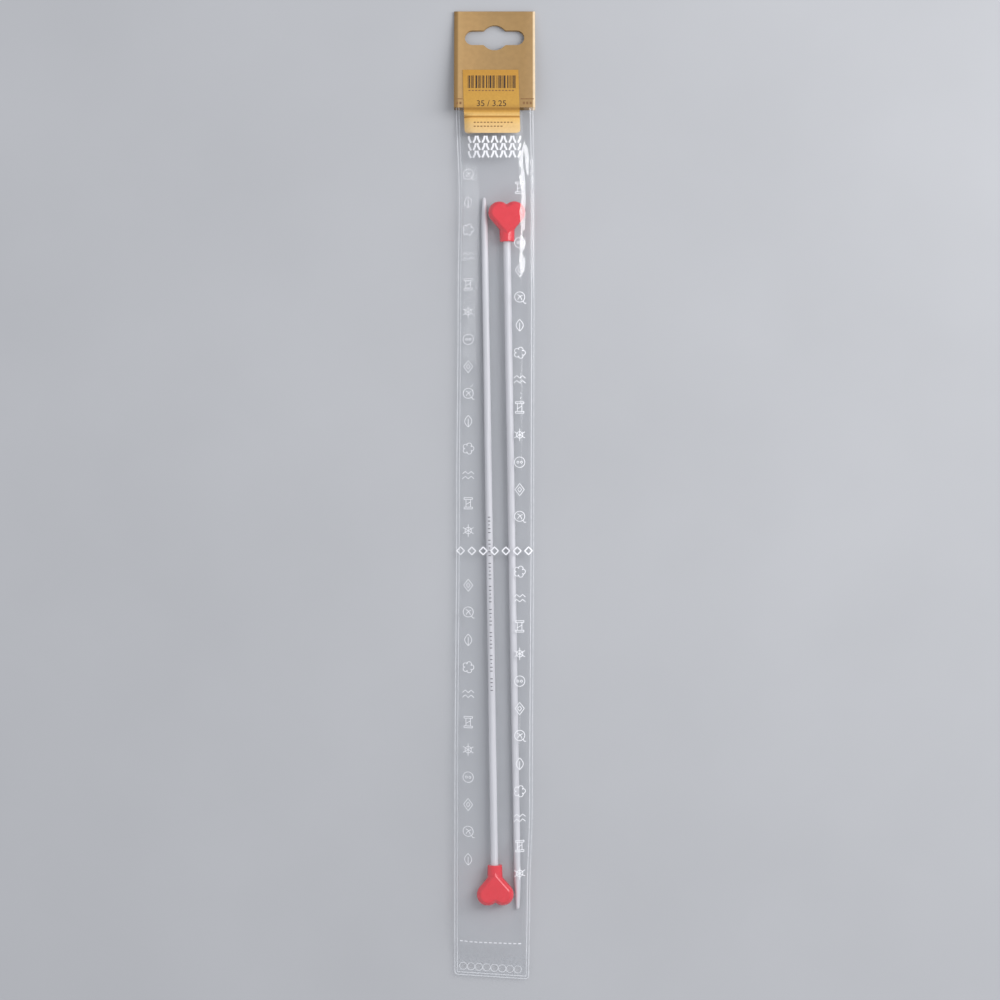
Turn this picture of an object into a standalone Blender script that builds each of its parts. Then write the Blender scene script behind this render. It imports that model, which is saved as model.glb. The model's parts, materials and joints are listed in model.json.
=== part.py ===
"""A pair of straight knitting needles with heart stops, head to tail in a clear hanging pouch.

The pouch lies on its back. +Z is up, +Y runs towards the hang slot and +X is to the right, seen from above.
The origin is on the surface that the pouch lies on, under the middle of the whole pack.
"""

import math

import bmesh
import bpy
from mathutils import Matrix, Vector

MM = 0.001

# Needles
NEEDLE_LENGTH = 350 * MM
SHAFT_DIAMETER = 3.25 * MM
TIP_TAPER_LENGTH = 17 * MM
TIP_DIAMETER = 1.7 * MM
SHAFT_SIDES = 24
TAPER_STEPS = 6
TIP_STEPS = 3

# Heart stops: two round lobes whose tangents meet at a point, on a tapered collar with a blind socket
LOBE_RADIUS = 5.4 * MM
LOBE_OFFSET = 3.7 * MM
HEART_POINT_DROP = 12.7 * MM
CLEFT_FILLET = 0.4 * MM
HEART_THICKNESS = 8.6 * MM
HEART_EDGE_INSET = 2.0 * MM
HEART_EDGE_DROP = 2.6 * MM
HEART_EDGE_SHARPNESS = 1.5
COLLAR_LENGTH = 14.4 * MM
COLLAR_ROOT_DIAMETER = 8.1 * MM
COLLAR_MOUTH_DIAMETER = 7.2 * MM
SOCKET_DEPTH = 11 * MM
SOCKET_CLEARANCE = 0.1 * MM
LOBE_STEPS = 14
CLEFT_STEPS = 4
EDGE_STEPS = 3
COLLAR_SIDES = 32

# How the needles lie, and how far each can slide in the pouch
NEEDLE_YAW = math.radians(0.92)
NEEDLE_SIDE_CLEARANCE = 0.35 * MM
NEEDLE_STAGGER = 2.5 * MM
PAIR_CENTRE_X = 3.2 * MM
SEAT_GAP = 0.3 * MM
HEART_SEAT_GAP = 0.35 * MM
LEFT_SLIDE_UP = 45 * MM
LEFT_SLIDE_DOWN = 12 * MM
RIGHT_SLIDE_UP = 20 * MM
RIGHT_SLIDE_DOWN = 14 * MM

# Pouch: two films welded along the sides and the foot, open at the top
TOP_SLACK = 46 * MM
FOOT_SLACK = 36.3 * MM
SIDE_SLACK = 2.86 * MM
FILM_THICKNESS = 0.3 * MM
WELD_WIDTH = 1.5 * MM
WELD_GAP = 0.1 * MM
WELD_HEIGHT_AT_HEARTS = 3.6 * MM
WELD_HEIGHT_AT_MIDDLE = 2.7 * MM
WELD_HEIGHT_AT_FOOT = 1.6 * MM
SLOPE_FULLNESS = 0.5
FOOT_CORNER_RADIUS = 2 * MM
FOOT_FLAT_LENGTH = 8 * MM
FOOT_SKEW = math.radians(3.8)
FOOT_SKEW_LENGTH = 40 * MM
MIDDLE_RAMP_LENGTH = 40 * MM
MOUTH_TUCK = 7 * MM
MOUTH_CROWN = 5.8 * MM
MOUTH_SLOPE_WIDTH = 4.5 * MM
FILM_TAB_MARGIN = 5.75 * MM
SEAT_STEP_LENGTH = 7.5 * MM
SLOPE_COLUMNS = 4
FLAT_COLUMNS = 3
RAMP_ROWS = 6
STRAIGHT_ROWS = 2
CORNER_STEPS = 4

# Row of holes punched through both films above the foot
HOLE_DIAMETER = 3.3 * MM
HOLE_BRIDGE = 0.57 * MM
HOLE_ROW_X = -2.0 * MM
HOLE_ROW_MARGIN = 0.5 * MM
HOLE_HEIGHT = 4.7 * MM
HOLE_SIDES = 16

# Header card: a back panel and a front flap on one fold, with a hang slot through both
HEADER_WIDTH = 40 * MM
HEADER_HEIGHT = 49 * MM
CARD_THICKNESS = 0.45 * MM
FOLD_INNER_RADIUS = 0.3 * MM
FOLD_GAP = 0.3 * MM
GLUE_GAP = 0.1 * MM
FLAP_CLEARANCE = 1.25 * MM
SLOT_DROP = 13.8 * MM
SLOT_WIDTH = 29.4 * MM
SLOT_HEIGHT = 7.5 * MM
SLOT_LOBE_RISE = 2.7 * MM
SLOT_FILLET = 1.5 * MM
FOLD_STEPS = 12
SLOT_END_STEPS = 8
SLOT_LOBE_STEPS = 10
SLOT_FILLET_STEPS = 4

# Sticker: stuck on the flap, down over its edge and on to the film
STICKER_WIDTH = 27.5 * MM
STICKER_ON_FLAP = 19.2 * MM
STICKER_BRIDGE = 3.5 * MM
STICKER_ON_FILM = 9.0 * MM
STICKER_THICKNESS = 0.2 * MM
STICKER_CORNER_RADIUS = 1.4 * MM
STICKER_CENTRE_X = -1.5 * MM
STICKER_SPAN_STEPS = 4

# How far a cutter runs past what it cuts
CUT_MARGIN = 5 * MM

# Needle sizes that follow from the ones above
SHAFT_RADIUS = SHAFT_DIAMETER / 2
HEART_HALF_WIDTH = LOBE_OFFSET + LOBE_RADIUS
HEART_FLAT_HALF_WIDTH = HEART_HALF_WIDTH - HEART_EDGE_INSET
STOP_HALF_HEIGHT = max(HEART_THICKNESS, COLLAR_ROOT_DIAMETER, COLLAR_MOUTH_DIAMETER) / 2
STOP_LENGTH = LOBE_RADIUS + COLLAR_LENGTH
TIP_REACH = NEEDLE_LENGTH - LOBE_RADIUS
NEEDLE_SPACING = HEART_HALF_WIDTH + SHAFT_RADIUS + NEEDLE_SIDE_CLEARANCE
PAIR_HALF_LENGTH = (NEEDLE_LENGTH - NEEDLE_STAGGER) / 2
LOBE_RISE = PAIR_HALF_LENGTH - LOBE_RADIUS
HEART_AXIS_HEIGHT = FILM_THICKNESS + HEART_SEAT_GAP + STOP_HALF_HEIGHT
TIP_AXIS_HEIGHT = FILM_THICKNESS + SEAT_GAP + SHAFT_RADIUS
NEEDLE_PITCH = math.asin((HEART_AXIS_HEIGHT - TIP_AXIS_HEIGHT) / (TIP_REACH - TIP_TAPER_LENGTH))


def needle_x(side, rise):
    """The x of the left (side -1) or right (side 1) needle's axis, at a rise above the pair's middle."""
    return PAIR_CENTRE_X + side * NEEDLE_SPACING / 2 - math.tan(NEEDLE_YAW) * rise


# Widths of the pouch: inside the welds, over the welds, and the lines where its sides reach full height
POUCH_INNER_HALF = SIDE_SLACK + HEART_HALF_WIDTH + max(needle_x(1, LOBE_RISE), -needle_x(-1, -LOBE_RISE))
POUCH_HALF_WIDTH = POUCH_INNER_HALF + WELD_WIDTH
LEFT_SHOULDER = -2 * SEAT_GAP + min(
    needle_x(-1, -LOBE_RISE) - HEART_FLAT_HALF_WIDTH,
    needle_x(-1, -LOBE_RISE + TIP_REACH + LEFT_SLIDE_UP) - SHAFT_RADIUS,
)
RIGHT_SHOULDER = 2 * SEAT_GAP + max(
    needle_x(1, LOBE_RISE) + HEART_FLAT_HALF_WIDTH,
    needle_x(1, LOBE_RISE - TIP_REACH - RIGHT_SLIDE_DOWN) + SHAFT_RADIUS,
)
MOUTH_SHOULDER = MOUTH_SLOPE_WIDTH - POUCH_INNER_HALF

# Lines across the pack, from the top down
FOOT_DROP = math.tan(FOOT_SKEW) * (POUCH_HALF_WIDTH - FOOT_CORNER_RADIUS)
PACK_LENGTH = HEADER_HEIGHT + TOP_SLACK + 2 * PAIR_HALF_LENGTH + FOOT_SLACK + FOOT_DROP
HEADER_TOP = PACK_LENGTH / 2
SLOT_Y = HEADER_TOP - SLOT_DROP
SLOT_LOBE_RADIUS = SLOT_HEIGHT / 2 + SLOT_LOBE_RISE
FILM_TOP = SLOT_Y - SLOT_LOBE_RADIUS - FILM_TAB_MARGIN
HEADER_FOOT = HEADER_TOP - HEADER_HEIGHT
MOUTH = HEADER_FOOT + MOUTH_TUCK
SEAT_STEP_TOP = HEADER_FOOT - SEAT_GAP
SEAT_STEP_FOOT = SEAT_STEP_TOP - SEAT_STEP_LENGTH
RIGHT_NEEDLE_TOP = HEADER_FOOT - TOP_SLACK
PAIR_MIDDLE = RIGHT_NEEDLE_TOP - PAIR_HALF_LENGTH
LEFT_NEEDLE_FOOT = PAIR_MIDDLE - PAIR_HALF_LENGTH
UPPER_ZONE_TOP = RIGHT_NEEDLE_TOP + RIGHT_SLIDE_UP + SEAT_GAP
UPPER_ZONE_FOOT = RIGHT_NEEDLE_TOP - STOP_LENGTH - RIGHT_SLIDE_DOWN - SEAT_GAP
MIDDLE_TOP = UPPER_ZONE_FOOT - MIDDLE_RAMP_LENGTH
LOWER_ZONE_TOP = LEFT_NEEDLE_FOOT + STOP_LENGTH + LEFT_SLIDE_UP + SEAT_GAP
LOWER_ZONE_FOOT = LEFT_NEEDLE_FOOT - LEFT_SLIDE_DOWN - SEAT_GAP
MIDDLE_FOOT = LOWER_ZONE_TOP + MIDDLE_RAMP_LENGTH
POUCH_FOOT = LEFT_NEEDLE_FOOT - FOOT_SLACK
FOOT_FLAT_TOP = POUCH_FOOT + FOOT_FLAT_LENGTH

# The card's fold, and the flap that turns on it and clears the pouch's mouth
FOLD_RADIUS = CARD_THICKNESS + FOLD_INNER_RADIUS
FOLD_Y = HEADER_TOP - FOLD_RADIUS
FLAP_RISE = MOUTH_CROWN + FLAP_CLEARANCE + CARD_THICKNESS / 2 - FOLD_RADIUS
FLAP_ANGLE = math.atan(FLAP_RISE / (FOLD_Y - MOUTH))
FLAP_RUN = (FOLD_Y - HEADER_FOOT) / math.cos(FLAP_ANGLE)

# Levels of the films
CARD_SEAT = CARD_THICKNESS + GLUE_GAP
WELD_HEIGHT_AT_CARD = CARD_SEAT + FILM_THICKNESS + WELD_GAP / 2
HEART_CROWN = HEART_AXIS_HEIGHT + STOP_HALF_HEIGHT + 2 * SEAT_GAP + FILM_THICKNESS
SHAFT_DROP_AT_MIDDLE = math.sin(NEEDLE_PITCH) * (COLLAR_LENGTH + MIDDLE_RAMP_LENGTH)
MIDDLE_CROWN = HEART_AXIS_HEIGHT - SHAFT_DROP_AT_MIDDLE + SHAFT_RADIUS + 2 * SEAT_GAP + FILM_THICKNESS
FOOT_CROWN = WELD_HEIGHT_AT_FOOT + WELD_GAP / 2 + FILM_THICKNESS
FOOT_FLOOR = WELD_HEIGHT_AT_FOOT - WELD_GAP / 2 - FILM_THICKNESS

# Levels along the pouch, each as a line across the pack and the level there, from the top down
CROWN_STATIONS = [
    (MOUTH, MOUTH_CROWN),
    (UPPER_ZONE_TOP, HEART_CROWN),
    (UPPER_ZONE_FOOT, HEART_CROWN),
    (MIDDLE_TOP, MIDDLE_CROWN),
    (MIDDLE_FOOT, MIDDLE_CROWN),
    (LOWER_ZONE_TOP, HEART_CROWN),
    (LOWER_ZONE_FOOT, HEART_CROWN),
    (FOOT_FLAT_TOP, FOOT_CROWN),
]
WELD_STATIONS = [
    (SEAT_STEP_TOP, WELD_HEIGHT_AT_CARD),
    (UPPER_ZONE_TOP, WELD_HEIGHT_AT_HEARTS),
    (UPPER_ZONE_FOOT, WELD_HEIGHT_AT_HEARTS),
    (MIDDLE_TOP, WELD_HEIGHT_AT_MIDDLE),
    (MIDDLE_FOOT, WELD_HEIGHT_AT_MIDDLE),
    (LOWER_ZONE_TOP, WELD_HEIGHT_AT_HEARTS),
    (LOWER_ZONE_FOOT, WELD_HEIGHT_AT_HEARTS),
    (FOOT_FLAT_TOP, WELD_HEIGHT_AT_FOOT),
]
FLOOR_STATIONS = [
    (SEAT_STEP_TOP, CARD_SEAT),
    (SEAT_STEP_FOOT, 0),
    (LOWER_ZONE_FOOT, 0),
    (FOOT_FLAT_TOP, FOOT_FLOOR),
]
LEFT_SHOULDER_STATIONS = [
    (SEAT_STEP_FOOT, MOUTH_SHOULDER),
    (UPPER_ZONE_TOP, LEFT_SHOULDER),
]


def srgb(red, green, blue):
    """A colour as read on a screen, 0 to 255, in Blender's linear values."""
    linear = []
    for value in (red, green, blue):
        share = value / 255
        linear.append(share / 12.92 if share <= 0.04045 else ((share + 0.055) / 1.055) ** 2.4)
    return tuple(linear)


def clear_scene():
    for old in list(bpy.data.objects):
        bpy.data.objects.remove(old)


def new_collection(name):
    collection = bpy.data.collections.new(name)
    bpy.context.scene.collection.children.link(collection)
    return collection


def new_material(name, colour, roughness, metallic=0, alpha=1):
    material = bpy.data.materials.new(name)
    material.use_nodes = True
    shader = material.node_tree.nodes["Principled BSDF"]
    shader.inputs["Base Color"].default_value = (*colour, 1)
    shader.inputs["Roughness"].default_value = roughness
    shader.inputs["Metallic"].default_value = metallic
    shader.inputs["Alpha"].default_value = alpha
    return material


def new_part(name, mesh, material, parent=None):
    part = bpy.data.objects.new(name, mesh)
    part.data.materials.append(material)
    part.parent = parent
    parts.objects.link(part)
    return part


def new_tool(name, mesh, parent=None):
    """A solid that is joined to a part or cut from it."""
    tool = bpy.data.objects.new(name, mesh)
    tool.hide_render = True
    tool.display_type = "WIRE"
    tool.parent = parent
    tools.objects.link(tool)
    return tool


def new_empty(name, matrix):
    empty = bpy.data.objects.new(name, None)
    empty.matrix_world = matrix
    parts.objects.link(empty)
    return empty


def add_boolean(part, tool, operation):
    boolean = part.modifiers.new(tool.name, "BOOLEAN")
    boolean.operation = operation
    boolean.solver = "EXACT"
    boolean.object = tool


def finish_mesh(bm, name):
    """Turns a bmesh into a smooth-shaded mesh that keeps its sharp edges."""
    mesh = bpy.data.meshes.new(name)
    bm.to_mesh(mesh)
    bm.free()
    mesh.shade_smooth()
    mesh.set_sharp_from_angle(angle=math.radians(35))
    return mesh


def cone_mesh(name, start_radius, end_radius, length, sides):
    """A cylinder or a frustum along +Z from the origin."""
    bm = bmesh.new()
    bmesh.ops.create_cone(
        bm, cap_ends=True, segments=sides, radius1=start_radius, radius2=end_radius, depth=length
    )
    bmesh.ops.translate(bm, verts=bm.verts, vec=(0, 0, length / 2))
    return finish_mesh(bm, name)


def outline_mesh(name, outline, half_depth):
    """A flat outline in XY, extruded both ways along Z, as a closed mesh."""
    curve = bpy.data.curves.new(name, "CURVE")
    curve.dimensions = "2D"
    curve.fill_mode = "BOTH"
    curve.extrude = half_depth
    spline = curve.splines.new("POLY")
    spline.points.add(len(outline) - 1)
    spline.use_cyclic_u = True
    for point, (x, y) in zip(spline.points, outline):
        point.co = (x, y, 0, 1)
    drawn = bpy.data.objects.new(name, curve)
    tools.objects.link(drawn)
    graph = bpy.context.evaluated_depsgraph_get()
    mesh = bpy.data.meshes.new_from_object(drawn.evaluated_get(graph))
    bpy.data.objects.remove(drawn)
    bm = bmesh.new()
    bm.from_mesh(mesh)
    bmesh.ops.remove_doubles(bm, verts=bm.verts, dist=0.001 * MM)
    bmesh.ops.recalc_face_normals(bm, faces=bm.faces)
    return finish_mesh(bm, name)


def sheet_mesh(name, columns, rows, place):
    """An open grid with place(column, row) at each point. It faces up where y grows with the row."""
    bm = bmesh.new()
    bmesh.ops.create_grid(bm, x_segments=columns - 1, y_segments=rows - 1, size=0.5)
    for vert in bm.verts:
        column = round((vert.co.x + 0.5) * (columns - 1))
        row = round((vert.co.y + 0.5) * (rows - 1))
        vert.co = place(column, row)
    return finish_mesh(bm, name)


def add_thickness(part, thickness):
    """Makes a sheet solid, with its thickness behind its face."""
    solidify = part.modifiers.new("Thickness", "SOLIDIFY")
    solidify.thickness = thickness
    solidify.offset = -1
    solidify.use_even_offset = True


def arc(centre, radius, start, end, steps):
    """Points on an arc, both ends included."""
    points = []
    for step in range(steps + 1):
        angle = start + (end - start) * step / steps
        points.append((centre[0] + radius * math.cos(angle), centre[1] + radius * math.sin(angle)))
    return points


def spread(start, end, steps):
    """Values from start up to but not including end."""
    return [start + (end - start) * step / steps for step in range(steps)]


def ease(share):
    """0 to 1, level at both ends."""
    share = min(max(share, 0), 1)
    return share * share * (3 - 2 * share)


def level_at(stations, y):
    """The level at y, eased between stations that are listed from the top of the pack down."""
    if y >= stations[0][0]:
        return stations[0][1]
    for (high_y, high), (low_y, low) in zip(stations, stations[1:]):
        if y >= low_y:
            return high + (low - high) * ease((high_y - y) / (high_y - low_y))
    return stations[-1][1]


def heart_ring(inset):
    """The heart's outline drawn in by inset, with its lobes at y = 0 and its point towards +Y."""
    reach = math.hypot(LOBE_OFFSET, HEART_POINT_DROP)
    side_angle = math.atan2(LOBE_OFFSET, HEART_POINT_DROP) + math.asin(LOBE_RADIUS / reach)
    radius = LOBE_RADIUS - inset
    point_y = (radius + LOBE_OFFSET * math.cos(side_angle)) / math.sin(side_angle)
    cleft_depth = math.sqrt((LOBE_RADIUS + CLEFT_FILLET) ** 2 - LOBE_OFFSET**2)
    cleft_angle = math.atan2(cleft_depth, LOBE_OFFSET)
    lobe = arc((LOBE_OFFSET, 0), radius, side_angle, cleft_angle - math.pi, LOBE_STEPS)
    cleft = arc((0, -cleft_depth), CLEFT_FILLET + inset, cleft_angle, math.pi - cleft_angle, CLEFT_STEPS)
    mirrored = [(-x, y) for x, y in reversed(lobe)]
    return [(0, point_y)] + lobe + cleft[1:-1] + mirrored


def heart_mesh(name):
    """A bevelled heart: rings of the outline, stacked from the lower flat face to the upper one.

    A sharpness of 1 rounds the bevel off into the faces, and 2 makes it a straight chamfer.
    """
    levels = []
    for step in range(EDGE_STEPS + 1):
        turn = math.pi / 2 * step / EDGE_STEPS
        inset = HEART_EDGE_INSET * (1 - math.cos(turn) ** HEART_EDGE_SHARPNESS)
        height = HEART_THICKNESS / 2 - HEART_EDGE_DROP * (1 - math.sin(turn) ** HEART_EDGE_SHARPNESS)
        levels.append((inset, height))
    lower = [(inset, -height) for inset, height in reversed(levels)]
    bm = bmesh.new()
    rings = []
    for inset, height in lower + levels:
        rings.append([bm.verts.new((x, y, height)) for x, y in heart_ring(inset)])
    for below, above in zip(rings, rings[1:]):
        for index in range(len(below)):
            after = (index + 1) % len(below)
            bm.faces.new((below[index], below[after], above[after], above[index]))
    bm.faces.new(rings[0])
    bm.faces.new(rings[-1])
    bmesh.ops.recalc_face_normals(bm, faces=bm.faces)
    return finish_mesh(bm, name)


def shaft_mesh(name, start, end):
    """A shaft's profile along +Z, from the tip down, to be turned about its axis."""
    tip_radius = TIP_DIAMETER / 2
    profile = []
    for turn in spread(0, math.pi / 2, TIP_STEPS):
        profile.append((tip_radius * math.sin(turn), end - tip_radius * (1 - math.cos(turn))))
    taper_start = end - tip_radius
    taper_end = end - TIP_TAPER_LENGTH
    for share in spread(0, 1, TAPER_STEPS):
        radius = tip_radius + (SHAFT_RADIUS - tip_radius) * math.sin(math.pi / 2 * share)
        profile.append((radius, taper_start + (taper_end - taper_start) * share))
    profile += [(SHAFT_RADIUS, taper_end), (SHAFT_RADIUS, start), (0, start)]
    mesh = bpy.data.meshes.new(name)
    edges = [(index, index + 1) for index in range(len(profile) - 1)]
    mesh.from_pydata([(radius, 0, height) for radius, height in profile], edges, [])
    return mesh


def add_turning(part):
    screw = part.modifiers.new("Turned", "SCREW")
    screw.steps = SHAFT_SIDES
    screw.render_steps = SHAFT_SIDES
    screw.use_merge_vertices = True
    screw.merge_threshold = 0.001 * MM
    screw.use_smooth_shade = True


def make_needle(name, side, turn):
    """One needle on an empty at its lobes: +Y of the empty runs to the tip, and the heart lies flat."""
    rise = side * LOBE_RISE
    seat = Matrix.Translation((needle_x(side, rise), PAIR_MIDDLE + rise, HEART_AXIS_HEIGHT))
    yaw = Matrix.Rotation(NEEDLE_YAW + turn, 4, "Z")
    pitch = Matrix.Rotation(-NEEDLE_PITCH, 4, "X")
    axis = new_empty(f"{name}_needle", seat @ yaw @ pitch)
    along_needle = Matrix.Rotation(-math.pi / 2, 4, "X")
    socket_foot = COLLAR_LENGTH - SOCKET_DEPTH

    stop_name = f"{name}_heart_stop"
    stop = new_part(stop_name, heart_mesh(stop_name), red_plastic, axis)
    collar_name = f"{name}_collar"
    collar_mesh = cone_mesh(
        collar_name, COLLAR_ROOT_DIAMETER / 2, COLLAR_MOUTH_DIAMETER / 2, COLLAR_LENGTH, COLLAR_SIDES
    )
    collar = new_tool(collar_name, collar_mesh, axis)
    collar.matrix_local = along_needle
    add_boolean(stop, collar, "UNION")
    socket_name = f"{name}_socket"
    socket_radius = (SHAFT_RADIUS + SOCKET_CLEARANCE) / math.cos(math.pi / SHAFT_SIDES)
    socket_mesh = cone_mesh(
        socket_name, socket_radius, socket_radius, SOCKET_DEPTH + CUT_MARGIN, SHAFT_SIDES
    )
    socket = new_tool(socket_name, socket_mesh, axis)
    socket.matrix_local = Matrix.Translation((0, socket_foot, 0)) @ along_needle
    add_boolean(stop, socket, "DIFFERENCE")

    shaft_name = f"{name}_needle_shaft"
    shaft = new_part(shaft_name, shaft_mesh(shaft_name, socket_foot + SEAT_GAP, TIP_REACH), grey_coating, axis)
    shaft.matrix_local = along_needle
    add_turning(shaft)


def film_sections(y):
    """Each column of a film at y: its x, and its rise from 0 on the welds to 1 over the needles."""
    left = level_at(LEFT_SHOULDER_STATIONS, y)
    sections = [(-POUCH_HALF_WIDTH, 0)]
    for share in spread(0, 1, SLOPE_COLUMNS):
        x = -POUCH_INNER_HALF + (left + POUCH_INNER_HALF) * share
        sections.append((x, share * (1 + SLOPE_FULLNESS * (1 - share))))
    for x in spread(left, RIGHT_SHOULDER, FLAT_COLUMNS):
        sections.append((x, 1))
    for fallen in spread(0, 1, SLOPE_COLUMNS):
        share = 1 - fallen
        x = POUCH_INNER_HALF + (RIGHT_SHOULDER - POUCH_INNER_HALF) * share
        sections.append((x, share * (1 + SLOPE_FULLNESS * (1 - share))))
    return sections + [(POUCH_INNER_HALF, 0), (POUCH_HALF_WIDTH, 0)]


def front_height(rise, y):
    """The front film's outer face."""
    weld_face = level_at(WELD_STATIONS, y) + WELD_GAP / 2 + FILM_THICKNESS
    return weld_face + (level_at(CROWN_STATIONS, y) - weld_face) * rise


def back_height(rise, y):
    """The back film's inner face."""
    weld_face = level_at(WELD_STATIONS, y) - WELD_GAP / 2
    floor_face = level_at(FLOOR_STATIONS, y) + FILM_THICKNESS
    return weld_face + (floor_face - weld_face) * rise


def film_rows(top):
    """Each row of a film, from its rounded foot up: its y, and its width as a share of the full width."""
    rows = []
    for turn in spread(math.pi / 2, 0, CORNER_STEPS):
        lost = FOOT_CORNER_RADIUS * (1 - math.cos(turn))
        y = POUCH_FOOT + FOOT_CORNER_RADIUS * (1 - math.sin(turn))
        rows.append((y, 1 - lost / POUCH_HALF_WIDTH))
    levels = [CROWN_STATIONS, WELD_STATIONS, FLOOR_STATIONS]
    corner_end = POUCH_FOOT + FOOT_CORNER_RADIUS
    lines = {corner_end, top}
    lines.update(y for stations in levels for y, level in stations if corner_end < y < top)
    lines = sorted(lines)
    for low, high in zip(lines, lines[1:]):
        ramp = any(level_at(stations, low) != level_at(stations, high) for stations in levels)
        rows += [(y, 1) for y in spread(low, high, RAMP_ROWS if ramp else STRAIGHT_ROWS)]
    return rows + [(top, 1)]


def foot_shift(x, y):
    """How far the pouch's foot is drawn up on the left and down on the right."""
    return -math.tan(FOOT_SKEW) * x * ease((POUCH_FOOT + FOOT_SKEW_LENGTH - y) / FOOT_SKEW_LENGTH)


def make_film(name, top, height, holes):
    """One film of the pouch, up to the line top, at height(rise, y), with the row of holes."""
    rows = film_rows(top)

    def place(column, row):
        y, width = rows[row]
        x, rise = film_sections(y)[column]
        return (x * width, y + foot_shift(x * width, y), height(rise, y))

    film = new_part(name, sheet_mesh(name, len(film_sections(top)), len(rows), place), clear_film)
    add_thickness(film, FILM_THICKNESS)
    add_boolean(film, holes, "DIFFERENCE")


def make_hole_punch():
    """A row of cylinders through both films, in line with the skewed foot."""
    pitch = HOLE_DIAMETER + HOLE_BRIDGE
    room = 2 * (POUCH_INNER_HALF - abs(HOLE_ROW_X) - HOLE_ROW_MARGIN) * math.cos(FOOT_SKEW)
    count = math.floor((room + HOLE_BRIDGE) / pitch)
    step = Vector((pitch * math.cos(FOOT_SKEW), -pitch * math.sin(FOOT_SKEW), 0))
    y = POUCH_FOOT + HOLE_HEIGHT
    middle = Vector((HOLE_ROW_X, y + foot_shift(HOLE_ROW_X, y), WELD_HEIGHT_AT_FOOT - CUT_MARGIN))
    radius = HOLE_DIAMETER / 2
    punch = new_tool("hole_punch", cone_mesh("hole_punch", radius, radius, 2 * CUT_MARGIN, HOLE_SIDES))
    punch.location = middle - step * (count - 1) / 2
    row = punch.modifiers.new("Row", "ARRAY")
    row.count = count
    row.use_relative_offset = False
    row.use_constant_offset = True
    row.constant_offset_displace = step
    return punch


def cut_hang_slot(part, name, parent, y):
    """A slot with round ends and a wider round middle, cut through a part of the card."""
    end_radius = SLOT_HEIGHT / 2
    end_x = SLOT_WIDTH / 2 - end_radius
    fillet_y = end_radius + SLOT_FILLET
    fillet_x = math.sqrt((SLOT_LOBE_RADIUS + SLOT_FILLET) ** 2 - fillet_y**2)
    lobe_start = math.atan2(fillet_y, fillet_x)
    upper = arc((end_x, 0), end_radius, 0, math.pi / 2, SLOT_END_STEPS)
    upper += arc((fillet_x, fillet_y), SLOT_FILLET, -math.pi / 2, lobe_start - math.pi, SLOT_FILLET_STEPS)
    upper += arc((0, 0), SLOT_LOBE_RADIUS, lobe_start, math.pi / 2, SLOT_LOBE_STEPS)[1:]
    upper += [(-x, height) for x, height in reversed(upper[:-1])]
    outline = upper + [(x, -height) for x, height in reversed(upper[1:-1])]
    slot = new_tool(f"{name}_slot", outline_mesh(f"{name}_slot", outline, CUT_MARGIN), parent)
    slot.location = (0, y, 0)
    add_boolean(part, slot, "DIFFERENCE")


def make_back_panel():
    """The card's back half, with the round fold along its top."""
    panel_meets_fold = math.pi + math.asin((FOLD_RADIUS - CARD_THICKNESS) / FOLD_RADIUS)
    profile = [(HEADER_FOOT, CARD_THICKNESS), (HEADER_FOOT, 0)]
    profile += arc((FOLD_Y, FOLD_RADIUS), FOLD_RADIUS, -math.pi / 2, panel_meets_fold, FOLD_STEPS)
    name = "header_back_panel"
    panel = new_part(name, outline_mesh(name, profile, HEADER_WIDTH / 2), gold_card)
    panel.data.transform(Matrix(((0, 0, 1, 0), (1, 0, 0, 0), (0, 1, 0, 0), (0, 0, 0, 1))))
    cut_hang_slot(panel, "back", None, SLOT_Y)


def make_front_flap(fold):
    """The card's front half, in the frame of the fold: -Y runs down the flap and +Z faces out."""
    half_width = HEADER_WIDTH / 2
    top = -FOLD_RADIUS - FOLD_GAP
    outline = [(-half_width, -FLAP_RUN), (half_width, -FLAP_RUN), (half_width, top), (-half_width, top)]
    name = "header_front_flap"
    flap = new_part(name, outline_mesh(name, outline, CARD_THICKNESS / 2), gold_card, fold)
    cut_hang_slot(flap, "front", fold, SLOT_Y - FOLD_Y)


def make_sticker(fold):
    """A paper sticker whose lower face follows the flap, its edge and the front film."""
    card_face = CARD_THICKNESS / 2 + GLUE_GAP
    upper_end = fold.matrix_world @ Vector((0, STICKER_ON_FLAP - FLAP_RUN, card_face))
    over_edge = fold.matrix_world @ Vector((0, -FLAP_RUN - SEAT_GAP, card_face))
    landing_y = HEADER_FOOT - STICKER_BRIDGE
    path = [upper_end, over_edge]
    for y in spread(landing_y, landing_y - STICKER_ON_FILM, STICKER_SPAN_STEPS) + [landing_y - STICKER_ON_FILM]:
        path.append(Vector((0, y, level_at(CROWN_STATIONS, y) + 2 * GLUE_GAP)))
    distances = [0]
    for before, after in zip(path, path[1:]):
        distances.append(distances[-1] + (after - before).length)
    total = distances[-1]

    def on_path(distance):
        for index in range(len(path) - 1):
            if distance <= distances[index + 1]:
                length = distances[index + 1] - distances[index]
                return path[index].lerp(path[index + 1], (distance - distances[index]) / length)
        return path[-1]

    radius = STICKER_CORNER_RADIUS
    full = STICKER_WIDTH / 2
    corner = []
    for turn in spread(math.pi / 2, 0, CORNER_STEPS) + [0]:
        corner.append((radius * (1 - math.sin(turn)), full - radius * (1 - math.cos(turn))))
    rows = corner + [(distance, full) for distance in distances if radius < distance < total - radius]
    rows += [(total - distance, half_width) for distance, half_width in reversed(corner)]
    columns = [-1, 0, 1]

    def place(column, row):
        distance, half_width = rows[row]
        point = on_path(distance)
        return (STICKER_CENTRE_X + columns[column] * half_width, point.y, point.z)

    name = "size_sticker"
    sticker = new_part(name, sheet_mesh(name, len(columns), len(rows), place), gold_paper, fold)
    sticker.matrix_parent_inverse = fold.matrix_world.inverted()
    add_thickness(sticker, STICKER_THICKNESS)


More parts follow.
